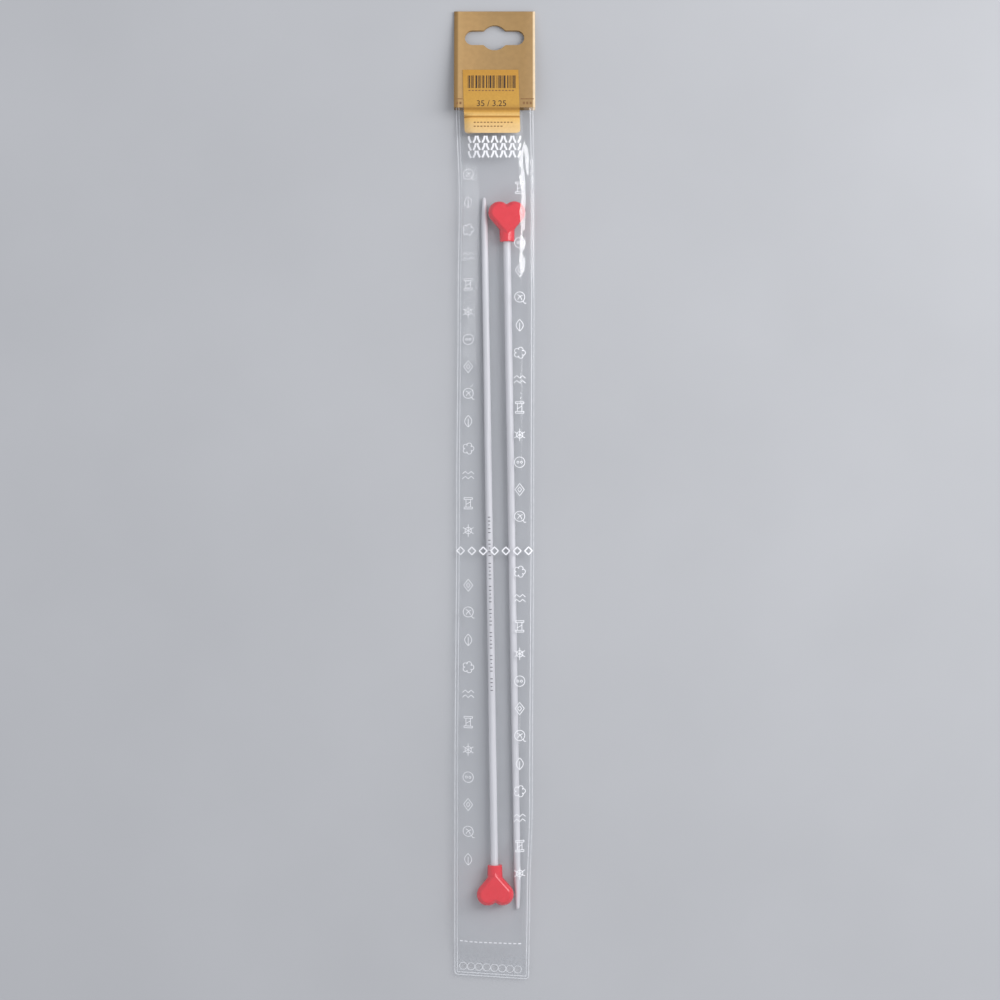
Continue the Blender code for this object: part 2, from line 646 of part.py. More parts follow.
clear_scene()
parts = new_collection("knitting_needles")
tools = new_collection("tools")

grey_coating = new_material("grey_coating", srgb(208, 206, 210), 0.35, metallic=0.3)
red_plastic = new_material("red_plastic", srgb(226, 40, 58), 0.3)
clear_film = new_material("clear_film", srgb(235, 236, 240), 0.1, alpha=0.2)
gold_card = new_material("gold_card", srgb(190, 157, 110), 0.45, metallic=0.4)
gold_paper = new_material("gold_paper", srgb(225, 180, 95), 0.5)

make_needle("left", -1, 0)
make_needle("right", 1, math.pi)

foot_holes = make_hole_punch()
make_film("pouch_back_film", FILM_TOP, back_height, foot_holes)
make_film("pouch_front_film", MOUTH, front_height, foot_holes)

make_back_panel()
fold_seat = Matrix.Translation((0, FOLD_Y, FOLD_RADIUS))
header_fold = new_empty("header_fold", fold_seat @ Matrix.Rotation(-FLAP_ANGLE, 4, "X"))
bpy.context.view_layer.update()
make_front_flap(header_fold)
make_sticker(header_fold)
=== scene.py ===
"""The look of a pair of straight knitting needles in a clear hanging pouch.

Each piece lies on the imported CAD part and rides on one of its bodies.
"""

import json
import math

import bmesh
import bpy
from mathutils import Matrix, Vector, noise
from mathutils.bvhtree import BVHTree


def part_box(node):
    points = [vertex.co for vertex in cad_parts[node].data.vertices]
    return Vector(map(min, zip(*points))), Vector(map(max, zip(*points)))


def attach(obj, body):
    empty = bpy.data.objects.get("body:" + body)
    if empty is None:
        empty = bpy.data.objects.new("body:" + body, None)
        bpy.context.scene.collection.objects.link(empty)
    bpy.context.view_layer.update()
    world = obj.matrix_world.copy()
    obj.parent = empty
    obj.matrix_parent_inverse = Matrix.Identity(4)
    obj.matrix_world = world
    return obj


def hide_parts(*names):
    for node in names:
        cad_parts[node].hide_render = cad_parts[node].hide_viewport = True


MM = 0.001
RAY_HEIGHT = 50 * MM
MERGE_DISTANCE = 0.005 * MM
RIM_ANGLE = math.radians(75)

# Pouch film: its edges seen from above, as (y, left x, right x), from the mouth down to the foot
FILM_EDGES = [
    (198 * MM, -19.3 * MM, 19.3 * MM),
    (146 * MM, -17.7 * MM, 19.9 * MM),
    (97 * MM, -18.3 * MM, 19.9 * MM),
    (-2 * MM, -19.0 * MM, 19.7 * MM),
    (-151 * MM, -19.9 * MM, 19.0 * MM),
    (-200 * MM, -19.95 * MM, 17.7 * MM),
    (-239 * MM, -19.95 * MM, 17.2 * MM),
]
FILM_DROP = 0.16 * MM
FILM_FLOOR = 0.02 * MM
FILM_CUT_DEPTH = 0.1 * MM
FILM_ROW_LENGTH = 1.6 * MM
FILM_COLUMN_WIDTH = 0.8 * MM
FILM_SMOOTH_ANGLE = 75
BACK_FILM_SEED = 3
FRONT_FILM_SEED = 11
WELD_WIDTH = 1.5 * MM
WELD_COLUMNS = 6
WELD_BEAD_HEIGHT = 0.14 * MM
WELD_BEAD_WIDTH = 0.28 * MM
WELD_LINE_INSETS = (0.3 * MM, 1.6 * MM)
WELD_LINE_WIDTH = 0.34 * MM
WELD_LINE_LIFT = 0.03 * MM
WELD_CORNER_STEPS = 8
FOOT_CORNER_RADIUS = 2 * MM
FOOT_CORNER_ROWS = 6
FOOT_SKEW = math.radians(3.8)
FOOT_SKEW_LENGTH = 40 * MM
SMOOTHING_PASSES = 20
SLACK_WIDTH = 4 * MM
WRINKLE_HEIGHT = 0.24 * MM
WRINKLE_LENGTH = 34 * MM
WRINKLE_WIDTH = 9 * MM
WRINKLE_SLANT = 0.3
RIPPLE_HEIGHT = 0.1 * MM
RIPPLE_LENGTH = 8 * MM
RIPPLE_SEED_STEP = 7
CRUMPLE_HEIGHT = 0.34 * MM
CRUMPLE_LENGTH = 4.5 * MM
CRUMPLE_STRETCH = 0.6
CRUMPLE_SEED_STEP = 13
CRUMPLE_CENTRE = (14 * MM, 150 * MM)
CRUMPLE_REACH = (5 * MM, 34 * MM)
SAG_DEPTH = 1.5 * MM
SAG_Y = 166 * MM
SAG_LENGTH = 10 * MM
SAG_START_X = 10.5 * MM
SAG_WIDTH = 7 * MM
CALM_UNDER_STICKER = (172 * MM, 14 * MM)
CALM_UNDER_FLAP = (187 * MM, 6 * MM)
CALM_RIGHT_EDGE = (12.5 * MM, 2.5 * MM)

# Row of holes at the foot of the pouch
HOLE_DIAMETER = 3.3 * MM
HOLE_PITCH = 3.87 * MM
HOLE_COUNT = 8
HOLE_ROW_X = -2.0 * MM
HOLE_HEIGHT = 4.7 * MM
HOLE_SIDES = 40
HOLE_RIM_WIDTH = 0.3 * MM
HOLE_PUNCH_DEPTH = 20 * MM
UPPER_FACE_LIMIT = 0.05

# White print on the film
PRINT_LINE_WIDTH = 0.32 * MM
PRINT_THICKNESS = 0.02 * MM
PRINT_LIFT = 0.03 * MM
PRINT_LAYER = 0.004 * MM
PRINT_STEP = 0.5 * MM
CLOSED_LINE_GAP = 0.001 * MM
MOTIF_HALF_SIZE = 3.2 * MM
MOTIF_PITCH = 13.5 * MM
MOTIF_LEFT_X = -13.0 * MM
MOTIF_RIGHT_X = 12.4 * MM
MOTIF_TOP = 158 * MM
MOTIF_FOOT = -204 * MM
MOTIF_ROW_STEP = 3
MOTIF_COLUMN_STEP = 4
STITCH_BAND_TOP = 177 * MM
STITCH_WIDTH = 4.4 * MM
STITCH_HEIGHT = 4.6 * MM
STITCH_LINE_WIDTH = 0.95 * MM
STITCH_COLUMNS = 6
STITCH_ROWS = 3
STITCH_ROW_SHARE = 0.8
STITCH_LEG = ((0.4, 0), (0.33, 0.35), (0.13, 0.75))
DIAMOND_BAND_Y = -27.5 * MM
DIAMOND_HALF_SIZE = 1.9 * MM
DIAMOND_PITCH = 5.6 * MM
DIAMOND_COUNT = 7
DIAMOND_LINE_WIDTH = 2 * PRINT_LINE_WIDTH
DASH_ROW_HEIGHT = 18 * MM
DASH_LENGTH = 1.5 * MM
DASH_PITCH = 2.4 * MM
DASH_COUNT = 13
DASH_LINE_WIDTH = 0.6 * MM

# Needles
SHAFT_SIDES = 48
SHAFT_STEPS_PER_STATION = 6
SHAFT_STATION_LENGTH = 0.05 * MM
SHAFT_END_REACH = 0.5 * MM
SHAFT_LEAST_RADIUS = 0.01 * MM
SHAFT_MARK_START = -9 * MM
SHAFT_MARK_END = -98 * MM
SHAFT_MARK_PITCH = 1.9 * MM
SHAFT_MARK_LENGTH = 1.2 * MM
SHAFT_MARK_WIDTH = 0.45 * MM
SHAFT_MARK_GROUP = 6
SHAFT_MARK_STEPS = 6
SHAFT_SHORT_MARK_EVERY = 3
SHAFT_SHORT_MARK_SHARE = 0.6
HEART_VOXEL = 0.16 * MM
HEART_SMOOTHING = 2
HEART_SMOOTH_FACTOR = 0.5

# Header card and sticker
CARD_EDGE_RADIUS = 0.12 * MM
CARD_EDGE_SEGMENTS = 2
CARD_EDGE_ANGLE = math.radians(40)
CARD_FLAT_ANGLE = math.radians(1)
CARD_FOLD_RADIUS = 0.745 * MM
CARD_LIP_THICKNESS = 0.12 * MM
CARD_LIP_START = 1.5 * MM
CARD_LIP_END = math.radians(75)
CARD_LIP_STEPS = 6
FLAP_HALF_THICKNESS = 0.225 * MM
FLAP_TOP_GAP = 1.05 * MM
BEAD_SCALE = 0.8
STICKER_THICKNESS = 0.12 * MM
STICKER_STEP = 0.7 * MM
STICKER_LIFT = 0.08 * MM
STICKER_SETTLE_DROP = 3 * MM
STICKER_FOOT_RADIUS = 1.8 * MM
STICKER_CORNER_STEPS = 6
STICKER_LEAN = 0.5 * MM
STICKER_CREASE_SHARE = 0.262
STICKER_CREASE_HEIGHT = 0.12 * MM
STICKER_CREASE_WIDTH = 0.35 * MM
STICKER_CREASE_STEPS = 8
CARD_LINE_RISE = 4.4 * MM
CARD_LINE_WIDTH = 0.45 * MM
CARD_DASH_RISE = 2.3 * MM
CARD_DASH_LENGTH = 1.0 * MM
CARD_DASH_WIDTH = 1.3 * MM
CARD_DASH_PITCH = 1.7 * MM
CARD_PRINT_MARGIN = 0.6 * MM
BAR_TOP_MARGIN = 2.9 * MM
BAR_HEIGHT = 6.4 * MM
BAR_UNIT = 0.29 * MM
BAR_SIDE_MARGIN = 2.1 * MM
BAR_COUNT = 24
FINE_ROWS = [(10.5 * MM, 2.4 * MM, 14), (26.2 * MM, 5.0 * MM, 12), (28.2 * MM, 5.0 * MM, 9)]
FINE_DASH_LENGTH = 1.0 * MM
FINE_DASH_PITCH = 1.65 * MM
FINE_DASH_WIDTH = 0.55 * MM
NUMBER_HEIGHT = 4.2 * MM
NUMBER_DROP = 18.4 * MM
NUMBER_MERGE_DISTANCE = 0.002 * MM
INK_THICKNESS = 0.015 * MM
INK_LIFT = 0.02 * MM

# Finishes
WHITE = (1, 1, 1, 1)
GRAIN_STRENGTH = 0.6
INK_GRAIN_SCALE = 1500
INK_GRAIN_HEIGHT = 0.004 * MM
SHEET_GRAIN_SHADE = (0.9, 0.9, 0.9, 1)
SHEET_GRAIN_HEIGHT = 0.01 * MM
SHEET_GRAIN_STRENGTH = 0.4
SHEET_SPECULAR = 0.25
FILM_TINT = (0.985, 0.988, 0.992, 1)
FILM_ROUGHNESS = 0.07
FILM_PEEL_SCALE = 260
FILM_PEEL_HEIGHT = 0.02 * MM
FILM_PEEL_STRENGTH = 0.25
FILM_GLOSS_POWER = 3
FILM_GRAZING_GLOSS = 0.8
FRONT_FILM_GLOSS = 0.06
BACK_FILM_GLOSS = 0.008
WELD_CLOUD_SCALE = 500
WELD_MILKINESS = 0.6
WELD_ROUGHNESS = (0.2, 0.4)

# Floor and lamps
FLOOR_HALF_WIDTH = 12
FLOOR_DROP = 0.05 * MM
WORLD_COLOUR = (0.93, 0.95, 1, 1)
WORLD_STRENGTH = 0.72
KEY_PLACE = (1.2, 1.1, 2.0)
KEY_TARGET = (0, 0, 0)
KEY_SIZE = (1.8, 1.8)
KEY_WATTS = 13
GLARE_PLACE = (0.72, 0.28, 0.66)
GLARE_TARGET = (0, 0.15, 0)
GLARE_SIZE = (0.21, 1.1)
GLARE_WATTS = 5.4

# Camera, straight above as in the photograph, with a square frame
CAMERA_HEIGHT = 1.2
FRAME_WIDTH = 0.4949
FRAME_CENTRE = (2.7 * MM, -2.4 * MM)
FRAME_PLANE_HEIGHT = 3 * MM
SENSOR_WIDTH = 36
CAMERA_NEAR = 10 * MM

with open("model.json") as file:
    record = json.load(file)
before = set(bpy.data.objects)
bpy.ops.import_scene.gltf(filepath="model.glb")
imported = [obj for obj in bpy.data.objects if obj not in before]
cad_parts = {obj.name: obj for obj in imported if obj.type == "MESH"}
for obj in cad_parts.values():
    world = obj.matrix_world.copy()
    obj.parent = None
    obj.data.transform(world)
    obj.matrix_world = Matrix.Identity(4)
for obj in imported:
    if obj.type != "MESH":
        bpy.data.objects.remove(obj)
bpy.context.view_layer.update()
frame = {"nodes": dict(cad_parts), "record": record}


def srgb(red, green, blue):
    """A colour as read on a screen, 0 to 255, in Blender's linear values."""
    linear = []
    for value in (red, green, blue):
        share = value / 255
        linear.append(share / 12.92 if share <= 0.04045 else ((share + 0.055) / 1.055) ** 2.4)
    return (*linear, 1)


def ease(share):
    """0 to 1, level at both ends."""
    share = min(max(share, 0), 1)
    return share * share * (3 - 2 * share)


def spread(start, end, steps):
    """Values from start to end, both included."""
    return [start + (end - start) * step / steps for step in range(steps + 1)]


def arc(x, y, radius, start, end, steps=20):
    """Points on an arc, with angles in degrees."""
    points = []
    for angle in spread(math.radians(start), math.radians(end), steps):
        points.append((x + radius * math.cos(angle), y + radius * math.sin(angle)))
    return points


# Materials
def new_material(name):
    material = bpy.data.materials.new(name)
    material.use_nodes = True
    return material, material.node_tree.nodes, material.node_tree.links


def add_noise(nodes, links, scale, stretch=(1, 1, 1), detail=4):
    """A noise texture in the object's own space, stretched along its axes."""
    place = nodes.new("ShaderNodeTexCoord")
    mapping = nodes.new("ShaderNodeMapping")
    mapping.inputs["Scale"].default_value = stretch
    texture = nodes.new("ShaderNodeTexNoise")
    texture.inputs["Scale"].default_value = scale
    texture.inputs["Detail"].default_value = detail
    links.new(place.outputs["Object"], mapping.inputs["Vector"])
    links.new(mapping.outputs["Vector"], texture.inputs["Vector"])
    return texture.outputs["Fac"]


def add_ramp(nodes, links, factor, low, high, low_at=0.3, high_at=0.7):
    """Turns a factor into a colour between two colours."""
    ramp = nodes.new("ShaderNodeValToRGB")
    ramp.color_ramp.elements[0].position = low_at
    ramp.color_ramp.elements[0].color = low
    ramp.color_ramp.elements[1].position = high_at
    ramp.color_ramp.elements[1].color = high
    links.new(factor, ramp.inputs["Fac"])
    return ramp.outputs["Color"]


def add_range(nodes, links, factor, low, high):
    """Turns a factor into a value between two values."""
    span = nodes.new("ShaderNodeMapRange")
    span.inputs["To Min"].default_value = low
    span.inputs["To Max"].default_value = high
    links.new(factor, span.inputs["Value"])
    return span.outputs["Result"]


def add_bump(nodes, links, factor, height, strength):
    bump = nodes.new("ShaderNodeBump")
    bump.inputs["Distance"].default_value = height
    bump.inputs["Strength"].default_value = strength
    links.new(factor, bump.inputs["Height"])
    return bump.outputs["Normal"]


def textured_material(name, low, high, scale, roughness, bump_height, stretch=(1, 1, 1), coat=0):
    """A Principled surface whose colour, roughness and bump vary with one stretched noise."""
    material, nodes, links = new_material(name)
    shader = nodes["Principled BSDF"]
    grain = add_noise(nodes, links, scale, stretch)
    links.new(add_ramp(nodes, links, grain, low, high), shader.inputs["Base Color"])
    links.new(add_range(nodes, links, grain, *roughness), shader.inputs["Roughness"])
    links.new(add_bump(nodes, links, grain, bump_height, GRAIN_STRENGTH), shader.inputs["Normal"])
    shader.inputs["Coat Weight"].default_value = coat
    return material


def ink_material(name, low, high, roughness=(0.5, 0.7)):
    """Printed ink, with a very fine grain."""
    return textured_material(name, low, high, INK_GRAIN_SCALE, roughness, INK_GRAIN_HEIGHT)


def film_material(name, gloss_facing):
    """Clear film: see-through, with a gloss that grows from gloss_facing towards grazing angles."""
    material, nodes, links = new_material(name)
    nodes.remove(nodes["Principled BSDF"])
    clear = nodes.new("ShaderNodeBsdfTransparent")
    clear.inputs["Color"].default_value = FILM_TINT
    gloss = nodes.new("ShaderNodeBsdfGlossy")
    gloss.inputs["Color"].default_value = WHITE
    gloss.inputs["Roughness"].default_value = FILM_ROUGHNESS
    orange_peel = add_noise(nodes, links, FILM_PEEL_SCALE, detail=1)
    peel = add_bump(nodes, links, orange_peel, FILM_PEEL_HEIGHT, FILM_PEEL_STRENGTH)
    links.new(peel, gloss.inputs["Normal"])
    slant = nodes.new("ShaderNodeLayerWeight")
    slant.inputs["Blend"].default_value = 0.5
    links.new(peel, slant.inputs["Normal"])
    steepen = nodes.new("ShaderNodeMath")
    steepen.operation = "POWER"
    steepen.inputs[1].default_value = FILM_GLOSS_POWER
    links.new(slant.outputs["Facing"], steepen.inputs[0])
    mix = nodes.new("ShaderNodeMixShader")
    share = add_range(nodes, links, steepen.outputs["Value"], gloss_facing, FILM_GRAZING_GLOSS)
    links.new(share, mix.inputs["Fac"])
    links.new(clear.outputs["BSDF"], mix.inputs[1])
    links.new(gloss.outputs["BSDF"], mix.inputs[2])
    links.new(mix.outputs["Shader"], nodes["Material Output"].inputs["Surface"])
    return material


def seam_material():
    """Welded film: milky where the two films were melted together."""
    material, nodes, links = new_material("weld_seam")
    shader = nodes["Principled BSDF"]
    cloud = add_noise(nodes, links, WELD_CLOUD_SCALE)
    colour = add_ramp(nodes, links, cloud, srgb(222, 224, 228), srgb(246, 247, 250))
    links.new(colour, shader.inputs["Base Color"])
    links.new(add_range(nodes, links, cloud, *WELD_ROUGHNESS), shader.inputs["Roughness"])
    clear = nodes.new("ShaderNodeBsdfTransparent")
    mix = nodes.new("ShaderNodeMixShader")
    mix.inputs["Fac"].default_value = WELD_MILKINESS
    links.new(clear.outputs["BSDF"], mix.inputs[1])
    links.new(shader.outputs["BSDF"], mix.inputs[2])
    links.new(mix.outputs["Shader"], nodes["Material Output"].inputs["Surface"])
    return material


def graded_material(name, axis, start, end, stops, grain_scale, roughness, metallic):
    """A Principled surface whose colour runs through stops along one axis, with a fine grain over it."""
    material, nodes, links = new_material(name)
    shader = nodes["Principled BSDF"]
    place = nodes.new("ShaderNodeTexCoord")
    split = nodes.new("ShaderNodeSeparateXYZ")
    links.new(place.outputs["Object"], split.inputs["Vector"])
    share = nodes.new("ShaderNodeMapRange")
    share.inputs["From Min"].default_value = start
    share.inputs["From Max"].default_value = end
    links.new(split.outputs[axis], share.inputs["Value"])
    ramp = nodes.new("ShaderNodeValToRGB")
    ramp.color_ramp.interpolation = "EASE"
    for _ in stops[2:]:
        ramp.color_ramp.elements.new(0.5)
    for element, (position, colour) in zip(ramp.color_ramp.elements, stops):
        element.position = position
        element.color = colour
    links.new(share.outputs["Result"], ramp.inputs["Fac"])
    grain = add_noise(nodes, links, grain_scale)
    tint = nodes.new("ShaderNodeMix")
    tint.data_type = "RGBA"
    tint.blend_type = "MULTIPLY"
    tint.inputs["Factor"].default_value = 1
    links.new(ramp.outputs["Color"], tint.inputs["A"])
    links.new(add_ramp(nodes, links, grain, SHEET_GRAIN_SHADE, WHITE), tint.inputs["B"])
    links.new(tint.outputs["Result"], shader.inputs["Base Color"])
    links.new(add_range(nodes, links, grain, *roughness), shader.inputs["Roughness"])
    relief = add_bump(nodes, links, grain, SHEET_GRAIN_HEIGHT, SHEET_GRAIN_STRENGTH)
    links.new(relief, shader.inputs["Normal"])
    shader.inputs["Metallic"].default_value = metallic
    shader.inputs["Specular IOR Level"].default_value = SHEET_SPECULAR
    return material


# Meshes
def new_piece(name, bm, material, body, smooth_angle=40):
    """Makes a bmesh into a piece that rides on a CAD body and takes its finish from a material slot."""
    mesh = bpy.data.meshes.new(name)
    bm.to_mesh(mesh)
    bm.free()
    mesh.shade_smooth()
    mesh.set_sharp_from_angle(angle=math.radians(smooth_angle))
    mesh.materials.append(material)
    piece = bpy.data.objects.new(name, mesh)
    bpy.context.scene.collection.objects.link(piece)
    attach(piece, body)
    return piece


def apply_modifiers(piece):
    """Keeps what the piece's modifiers make as its own mesh."""
    graph = bpy.context.evaluated_depsgraph_get()
    made = bpy.data.meshes.new_from_object(piece.evaluated_get(graph))
    piece.modifiers.clear()
    piece.data = made


def add_thickness(piece, thickness, offset):
    solidify = piece.modifiers.new("Thickness", "SOLIDIFY")
    solidify.thickness = thickness
    solidify.offset = offset
    apply_modifiers(piece)
    piece.data.set_sharp_from_angle(angle=RIM_ANGLE)


def surface_of(source):
    """A function that gives the height of a mesh's upper face under a point, or None beside it."""
    tree = BVHTree.FromBMesh(source) if isinstance(source, bmesh.types.BMesh) else tree_of(source)

    def height(x, y):
        hit = tree.ray_cast(Vector((x, y, RAY_HEIGHT)), Vector((0, 0, -1)))
        return None if hit[0] is None else hit[0].z

    return height


def tree_of(piece):
    return BVHTree.FromObject(piece, bpy.context.evaluated_depsgraph_get())


def grid_bmesh(columns, rows, place):
    """An open grid with place(column, row) at each point."""
    bm = bmesh.new()
    verts = [[bm.verts.new(place(column, row)) for column in range(columns)] for row in range(rows)]
    for row in range(rows - 1):
        for column in range(columns - 1):
            bm.faces.new((
                verts[row][column],
                verts[row][column + 1],
                verts[row + 1][column + 1],
                verts[row + 1][column],
            ))
    return bm


# Films
def film_edges(y):
    """The left and right edge of the film at y."""
    if y >= FILM_EDGES[0][0]:
        return FILM_EDGES[0][1:]
    for upper, lower in zip(FILM_EDGES, FILM_EDGES[1:]):
        if y >= lower[0]:
            share = ease((upper[0] - y) / (upper[0] - lower[0]))
            return tuple(high + (low - high) * share for high, low in zip(upper[1:], lower[1:]))
    return FILM_EDGES[-1][1:]


def foot_shift(x, y, foot):
    """How far the pouch's foot is drawn up on the left and down on the right."""
    return -math.tan(FOOT_SKEW) * x * ease((foot + FOOT_SKEW_LENGTH - y) / FOOT_SKEW_LENGTH)


def film_columns(half_width):
    """The x of each column, close together at the welds."""
    inner = half_width - WELD_WIDTH - WELD_BEAD_WIDTH * 3
    weld = spread(-half_width, -inner, WELD_COLUMNS * 2)
    steps = round(2 * inner / FILM_COLUMN_WIDTH)
    return weld[:-1] + spread(-inner, inner, steps) + [-x for x in reversed(weld[:-1])]


def inset_from_edge(x, y, half_width, foot):
    """How far a point is inside the pouch's outline, with its round foot corners."""
    over_x = abs(x) - (half_width - FOOT_CORNER_RADIUS)
    over_y = foot + FOOT_CORNER_RADIUS - y
    if over_x > 0 and over_y > 0:
        return FOOT_CORNER_RADIUS - math.hypot(over_x, over_y)
    return min(half_width - abs(x), y - foot)


def wrinkle(x, y, seed):
    """The height of creases along the film, ripples, and a crumpled place beside the upper heart.

    The film lies smooth under the sticker and the flap.
    """
    slanted_x = x / WRINKLE_WIDTH + WRINKLE_SLANT * y / WRINKLE_LENGTH
    crease = noise.noise(Vector((slanted_x, y / WRINKLE_LENGTH, seed)))
    ripple = noise.noise(Vector((x / RIPPLE_LENGTH, y / RIPPLE_LENGTH, seed + RIPPLE_SEED_STEP)))
    off_x = (x - CRUMPLE_CENTRE[0]) / CRUMPLE_REACH[0]
    off_y = (y - CRUMPLE_CENTRE[1]) / CRUMPLE_REACH[1]
    stretched_y = CRUMPLE_STRETCH * y / CRUMPLE_LENGTH
    crumple = noise.noise(Vector((x / CRUMPLE_LENGTH, stretched_y, seed + CRUMPLE_SEED_STEP)))
    crumple *= math.exp(-(off_x**2) - off_y**2)
    under_sticker = ease((CALM_UNDER_STICKER[0] - y) / CALM_UNDER_STICKER[1])
    under_flap = ease((CALM_UNDER_FLAP[0] - y) / CALM_UNDER_FLAP[1])
    beside_sticker = ease((x - CALM_RIGHT_EDGE[0]) / CALM_RIGHT_EDGE[1])
    loose = max(under_sticker, beside_sticker * under_flap)
    return loose * (crease * WRINKLE_HEIGHT + ripple * RIPPLE_HEIGHT + crumple * CRUMPLE_HEIGHT)


def shoulder_sag(x, y):
    """How slack the front film hangs at its right shoulder above the upper heart, 0 to 1."""
    return ease((x - SAG_START_X) / SAG_WIDTH) * math.exp(-(((y - SAG_Y) / SAG_LENGTH) ** 2))


def make_film(node, name, material, seed, sag_depth):
    """One film of the pouch, on its CAD solid's upper face, with creases, weld beads and the true edges."""
    cad = frame["nodes"][node]
    cad_height = surface_of(cad)
    low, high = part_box(node)
    half_width = high.x
    foot = low.y + math.tan(FOOT_SKEW) * (half_width - FOOT_CORNER_RADIUS)
    columns = film_columns(half_width)
    corner = spread(foot, foot + FOOT_CORNER_RADIUS, FOOT_CORNER_ROWS)
    rows = corner[:-1] + spread(corner[-1], high.y, round((high.y - corner[-1]) / FILM_ROW_LENGTH))
    edge_margin = 0.1 * MM

    def row_half_width(y):
        if y < foot + FOOT_CORNER_RADIUS:
            rise = foot + FOOT_CORNER_RADIUS - y
            return half_width - FOOT_CORNER_RADIUS + math.sqrt(max(FOOT_CORNER_RADIUS**2 - rise**2, 0))
        inside_y = min(y, high.y - edge_margin)
        x = half_width - edge_margin
        while cad_height(x, inside_y + foot_shift(x, inside_y, foot)) is None:
            x -= edge_margin
        return x + edge_margin

    def cad_z(x, y):
        """The CAD solid's upper face, read just above the holes where it has one."""
        inside_y = min(max(y, foot + FOOT_CORNER_RADIUS), high.y - edge_margin)
        found = cad_height(x, inside_y + foot_shift(x, inside_y, foot))
        while found is None:
            inside_y += edge_margin
            found = cad_height(x, inside_y + foot_shift(x, inside_y, foot))
        return found

    widths = [row_half_width(y) for y in rows]
    heights = []
    for y, width in zip(rows, widths):
        heights.append([cad_z(x * (width - edge_margin) / half_width, y) for x in columns])
    for _ in range(SMOOTHING_PASSES):
        smoothed = [list(row) for row in heights]
        for row in range(1, len(rows) - 1):
            for column in range(1, len(columns) - 1):
                around = heights[row - 1][column] + heights[row + 1][column]
                around += heights[row][column - 1] + heights[row][column + 1]
                smoothed[row][column] = (heights[row][column] + around / 4) / 2
        heights = smoothed

    def place(column, row):
        x, y = columns[column], rows[row]
        inset = inset_from_edge(x, y, half_width, foot)
        slack = ease((inset - WELD_WIDTH) / SLACK_WIDTH)
        bead = math.exp(-(((inset - WELD_WIDTH) / WELD_BEAD_WIDTH) ** 2)) * WELD_BEAD_HEIGHT
        left, right = film_edges(y)
        share = (x * widths[row] / half_width + half_width) / (2 * half_width)
        moved_x = left + (right - left) * share
        loose = wrinkle(x, y, seed) - sag_depth * shoulder_sag(x, y)
        z = heights[row][column] - FILM_DROP + bead + loose * slack
        return (moved_x, y + foot_shift(moved_x, y, foot), max(z, FILM_FLOOR))

    bm = grid_bmesh(len(columns), len(rows), place)
    bmesh.ops.triangulate(bm, faces=bm.faces, quad_method="FIXED")
    height = surface_of(bm)
    film = new_piece(name, bm, material, "pack", FILM_SMOOTH_ANGLE)
    punch_holes(film, foot)
    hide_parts(node)
    return height, foot


def hole_centres(foot):
    """The centres of the row of holes along the skewed foot."""
    step = Vector((HOLE_PITCH * math.cos(FOOT_SKEW), -HOLE_PITCH * math.sin(FOOT_SKEW), 0))
    y = foot + HOLE_HEIGHT
    middle = Vector((HOLE_ROW_X, y + foot_shift(HOLE_ROW_X, y, foot), 0))
    return [middle + step * (index - (HOLE_COUNT - 1) / 2) for index in range(HOLE_COUNT)]


def make_weld_lines(height, foot):
    """The pressed lines down both sides and round the foot, and the melted rims of the holes."""
    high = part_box("pouch_front_film")[1]
    half_width = high.x
    corner_x = half_width - FOOT_CORNER_RADIUS
    corner_y = foot + FOOT_CORNER_RADIUS
    bm = bmesh.new()
    for inset in WELD_LINE_INSETS:
        radius = FOOT_CORNER_RADIUS - inset
        line = [(inset - half_width, high.y - WELD_LINE_WIDTH)]
        line += arc(-corner_x, corner_y, radius, 180, 270, WELD_CORNER_STEPS)
        line += arc(corner_x, corner_y, radius, 270, 360, WELD_CORNER_STEPS)
        line.append((half_width - inset, high.y - WELD_LINE_WIDTH))
        placed = []
        for x, y in resample(line, PRINT_STEP):
            left, right = film_edges(y)
            moved_x = left + (right - left) * (x + half_width) / (2 * half_width)
            placed.append((moved_x, y + foot_shift(moved_x, y, foot)))
        add_stroke(bm, placed, WELD_LINE_WIDTH, height, WELD_LINE_LIFT)
    for centre in hole_centres(foot):
        rim = arc(centre.x, centre.y, (HOLE_DIAMETER + HOLE_RIM_WIDTH) / 2, 0, 360, HOLE_SIDES)
        add_stroke(bm, rim, HOLE_RIM_WIDTH, height, WELD_LINE_LIFT)
    new_piece("weld_lines", bm, weld_seam, "pack")


def punch_holes(film, foot):
    """Cuts the row of round holes along the skewed foot, and leaves the film as one thin sheet."""
    bm = bmesh.new()
    for centre in hole_centres(foot):
        made = bmesh.ops.create_cone(
            bm,
            cap_ends=True,
            segments=HOLE_SIDES,
            radius1=HOLE_DIAMETER / 2,
            radius2=HOLE_DIAMETER / 2,
            depth=HOLE_PUNCH_DEPTH,
        )
        bmesh.ops.translate(bm, verts=made["verts"], vec=centre)
    mesh = bpy.data.meshes.new("hole_punch")
    bm.to_mesh(mesh)
    bm.free()
    punch = bpy.data.objects.new("hole_punch", mesh)
    bpy.context.scene.collection.objects.link(punch)
    add_thickness(film, FILM_CUT_DEPTH, -1)
    boolean = film.modifiers.new("Holes", "BOOLEAN")
    boolean.operation = "DIFFERENCE"
    boolean.object = punch
    apply_modifiers(film)
    bpy.data.objects.remove(punch)
    bm = bmesh.new()
    bm.from_mesh(film.data)
    bm.normal_update()
    under = [face for face in bm.faces if face.normal.z < UPPER_FACE_LIMIT]
    bmesh.ops.delete(bm, geom=under, context="FACES")
    bm.to_mesh(film.data)
    bm.free()
    film.data.shade_smooth()


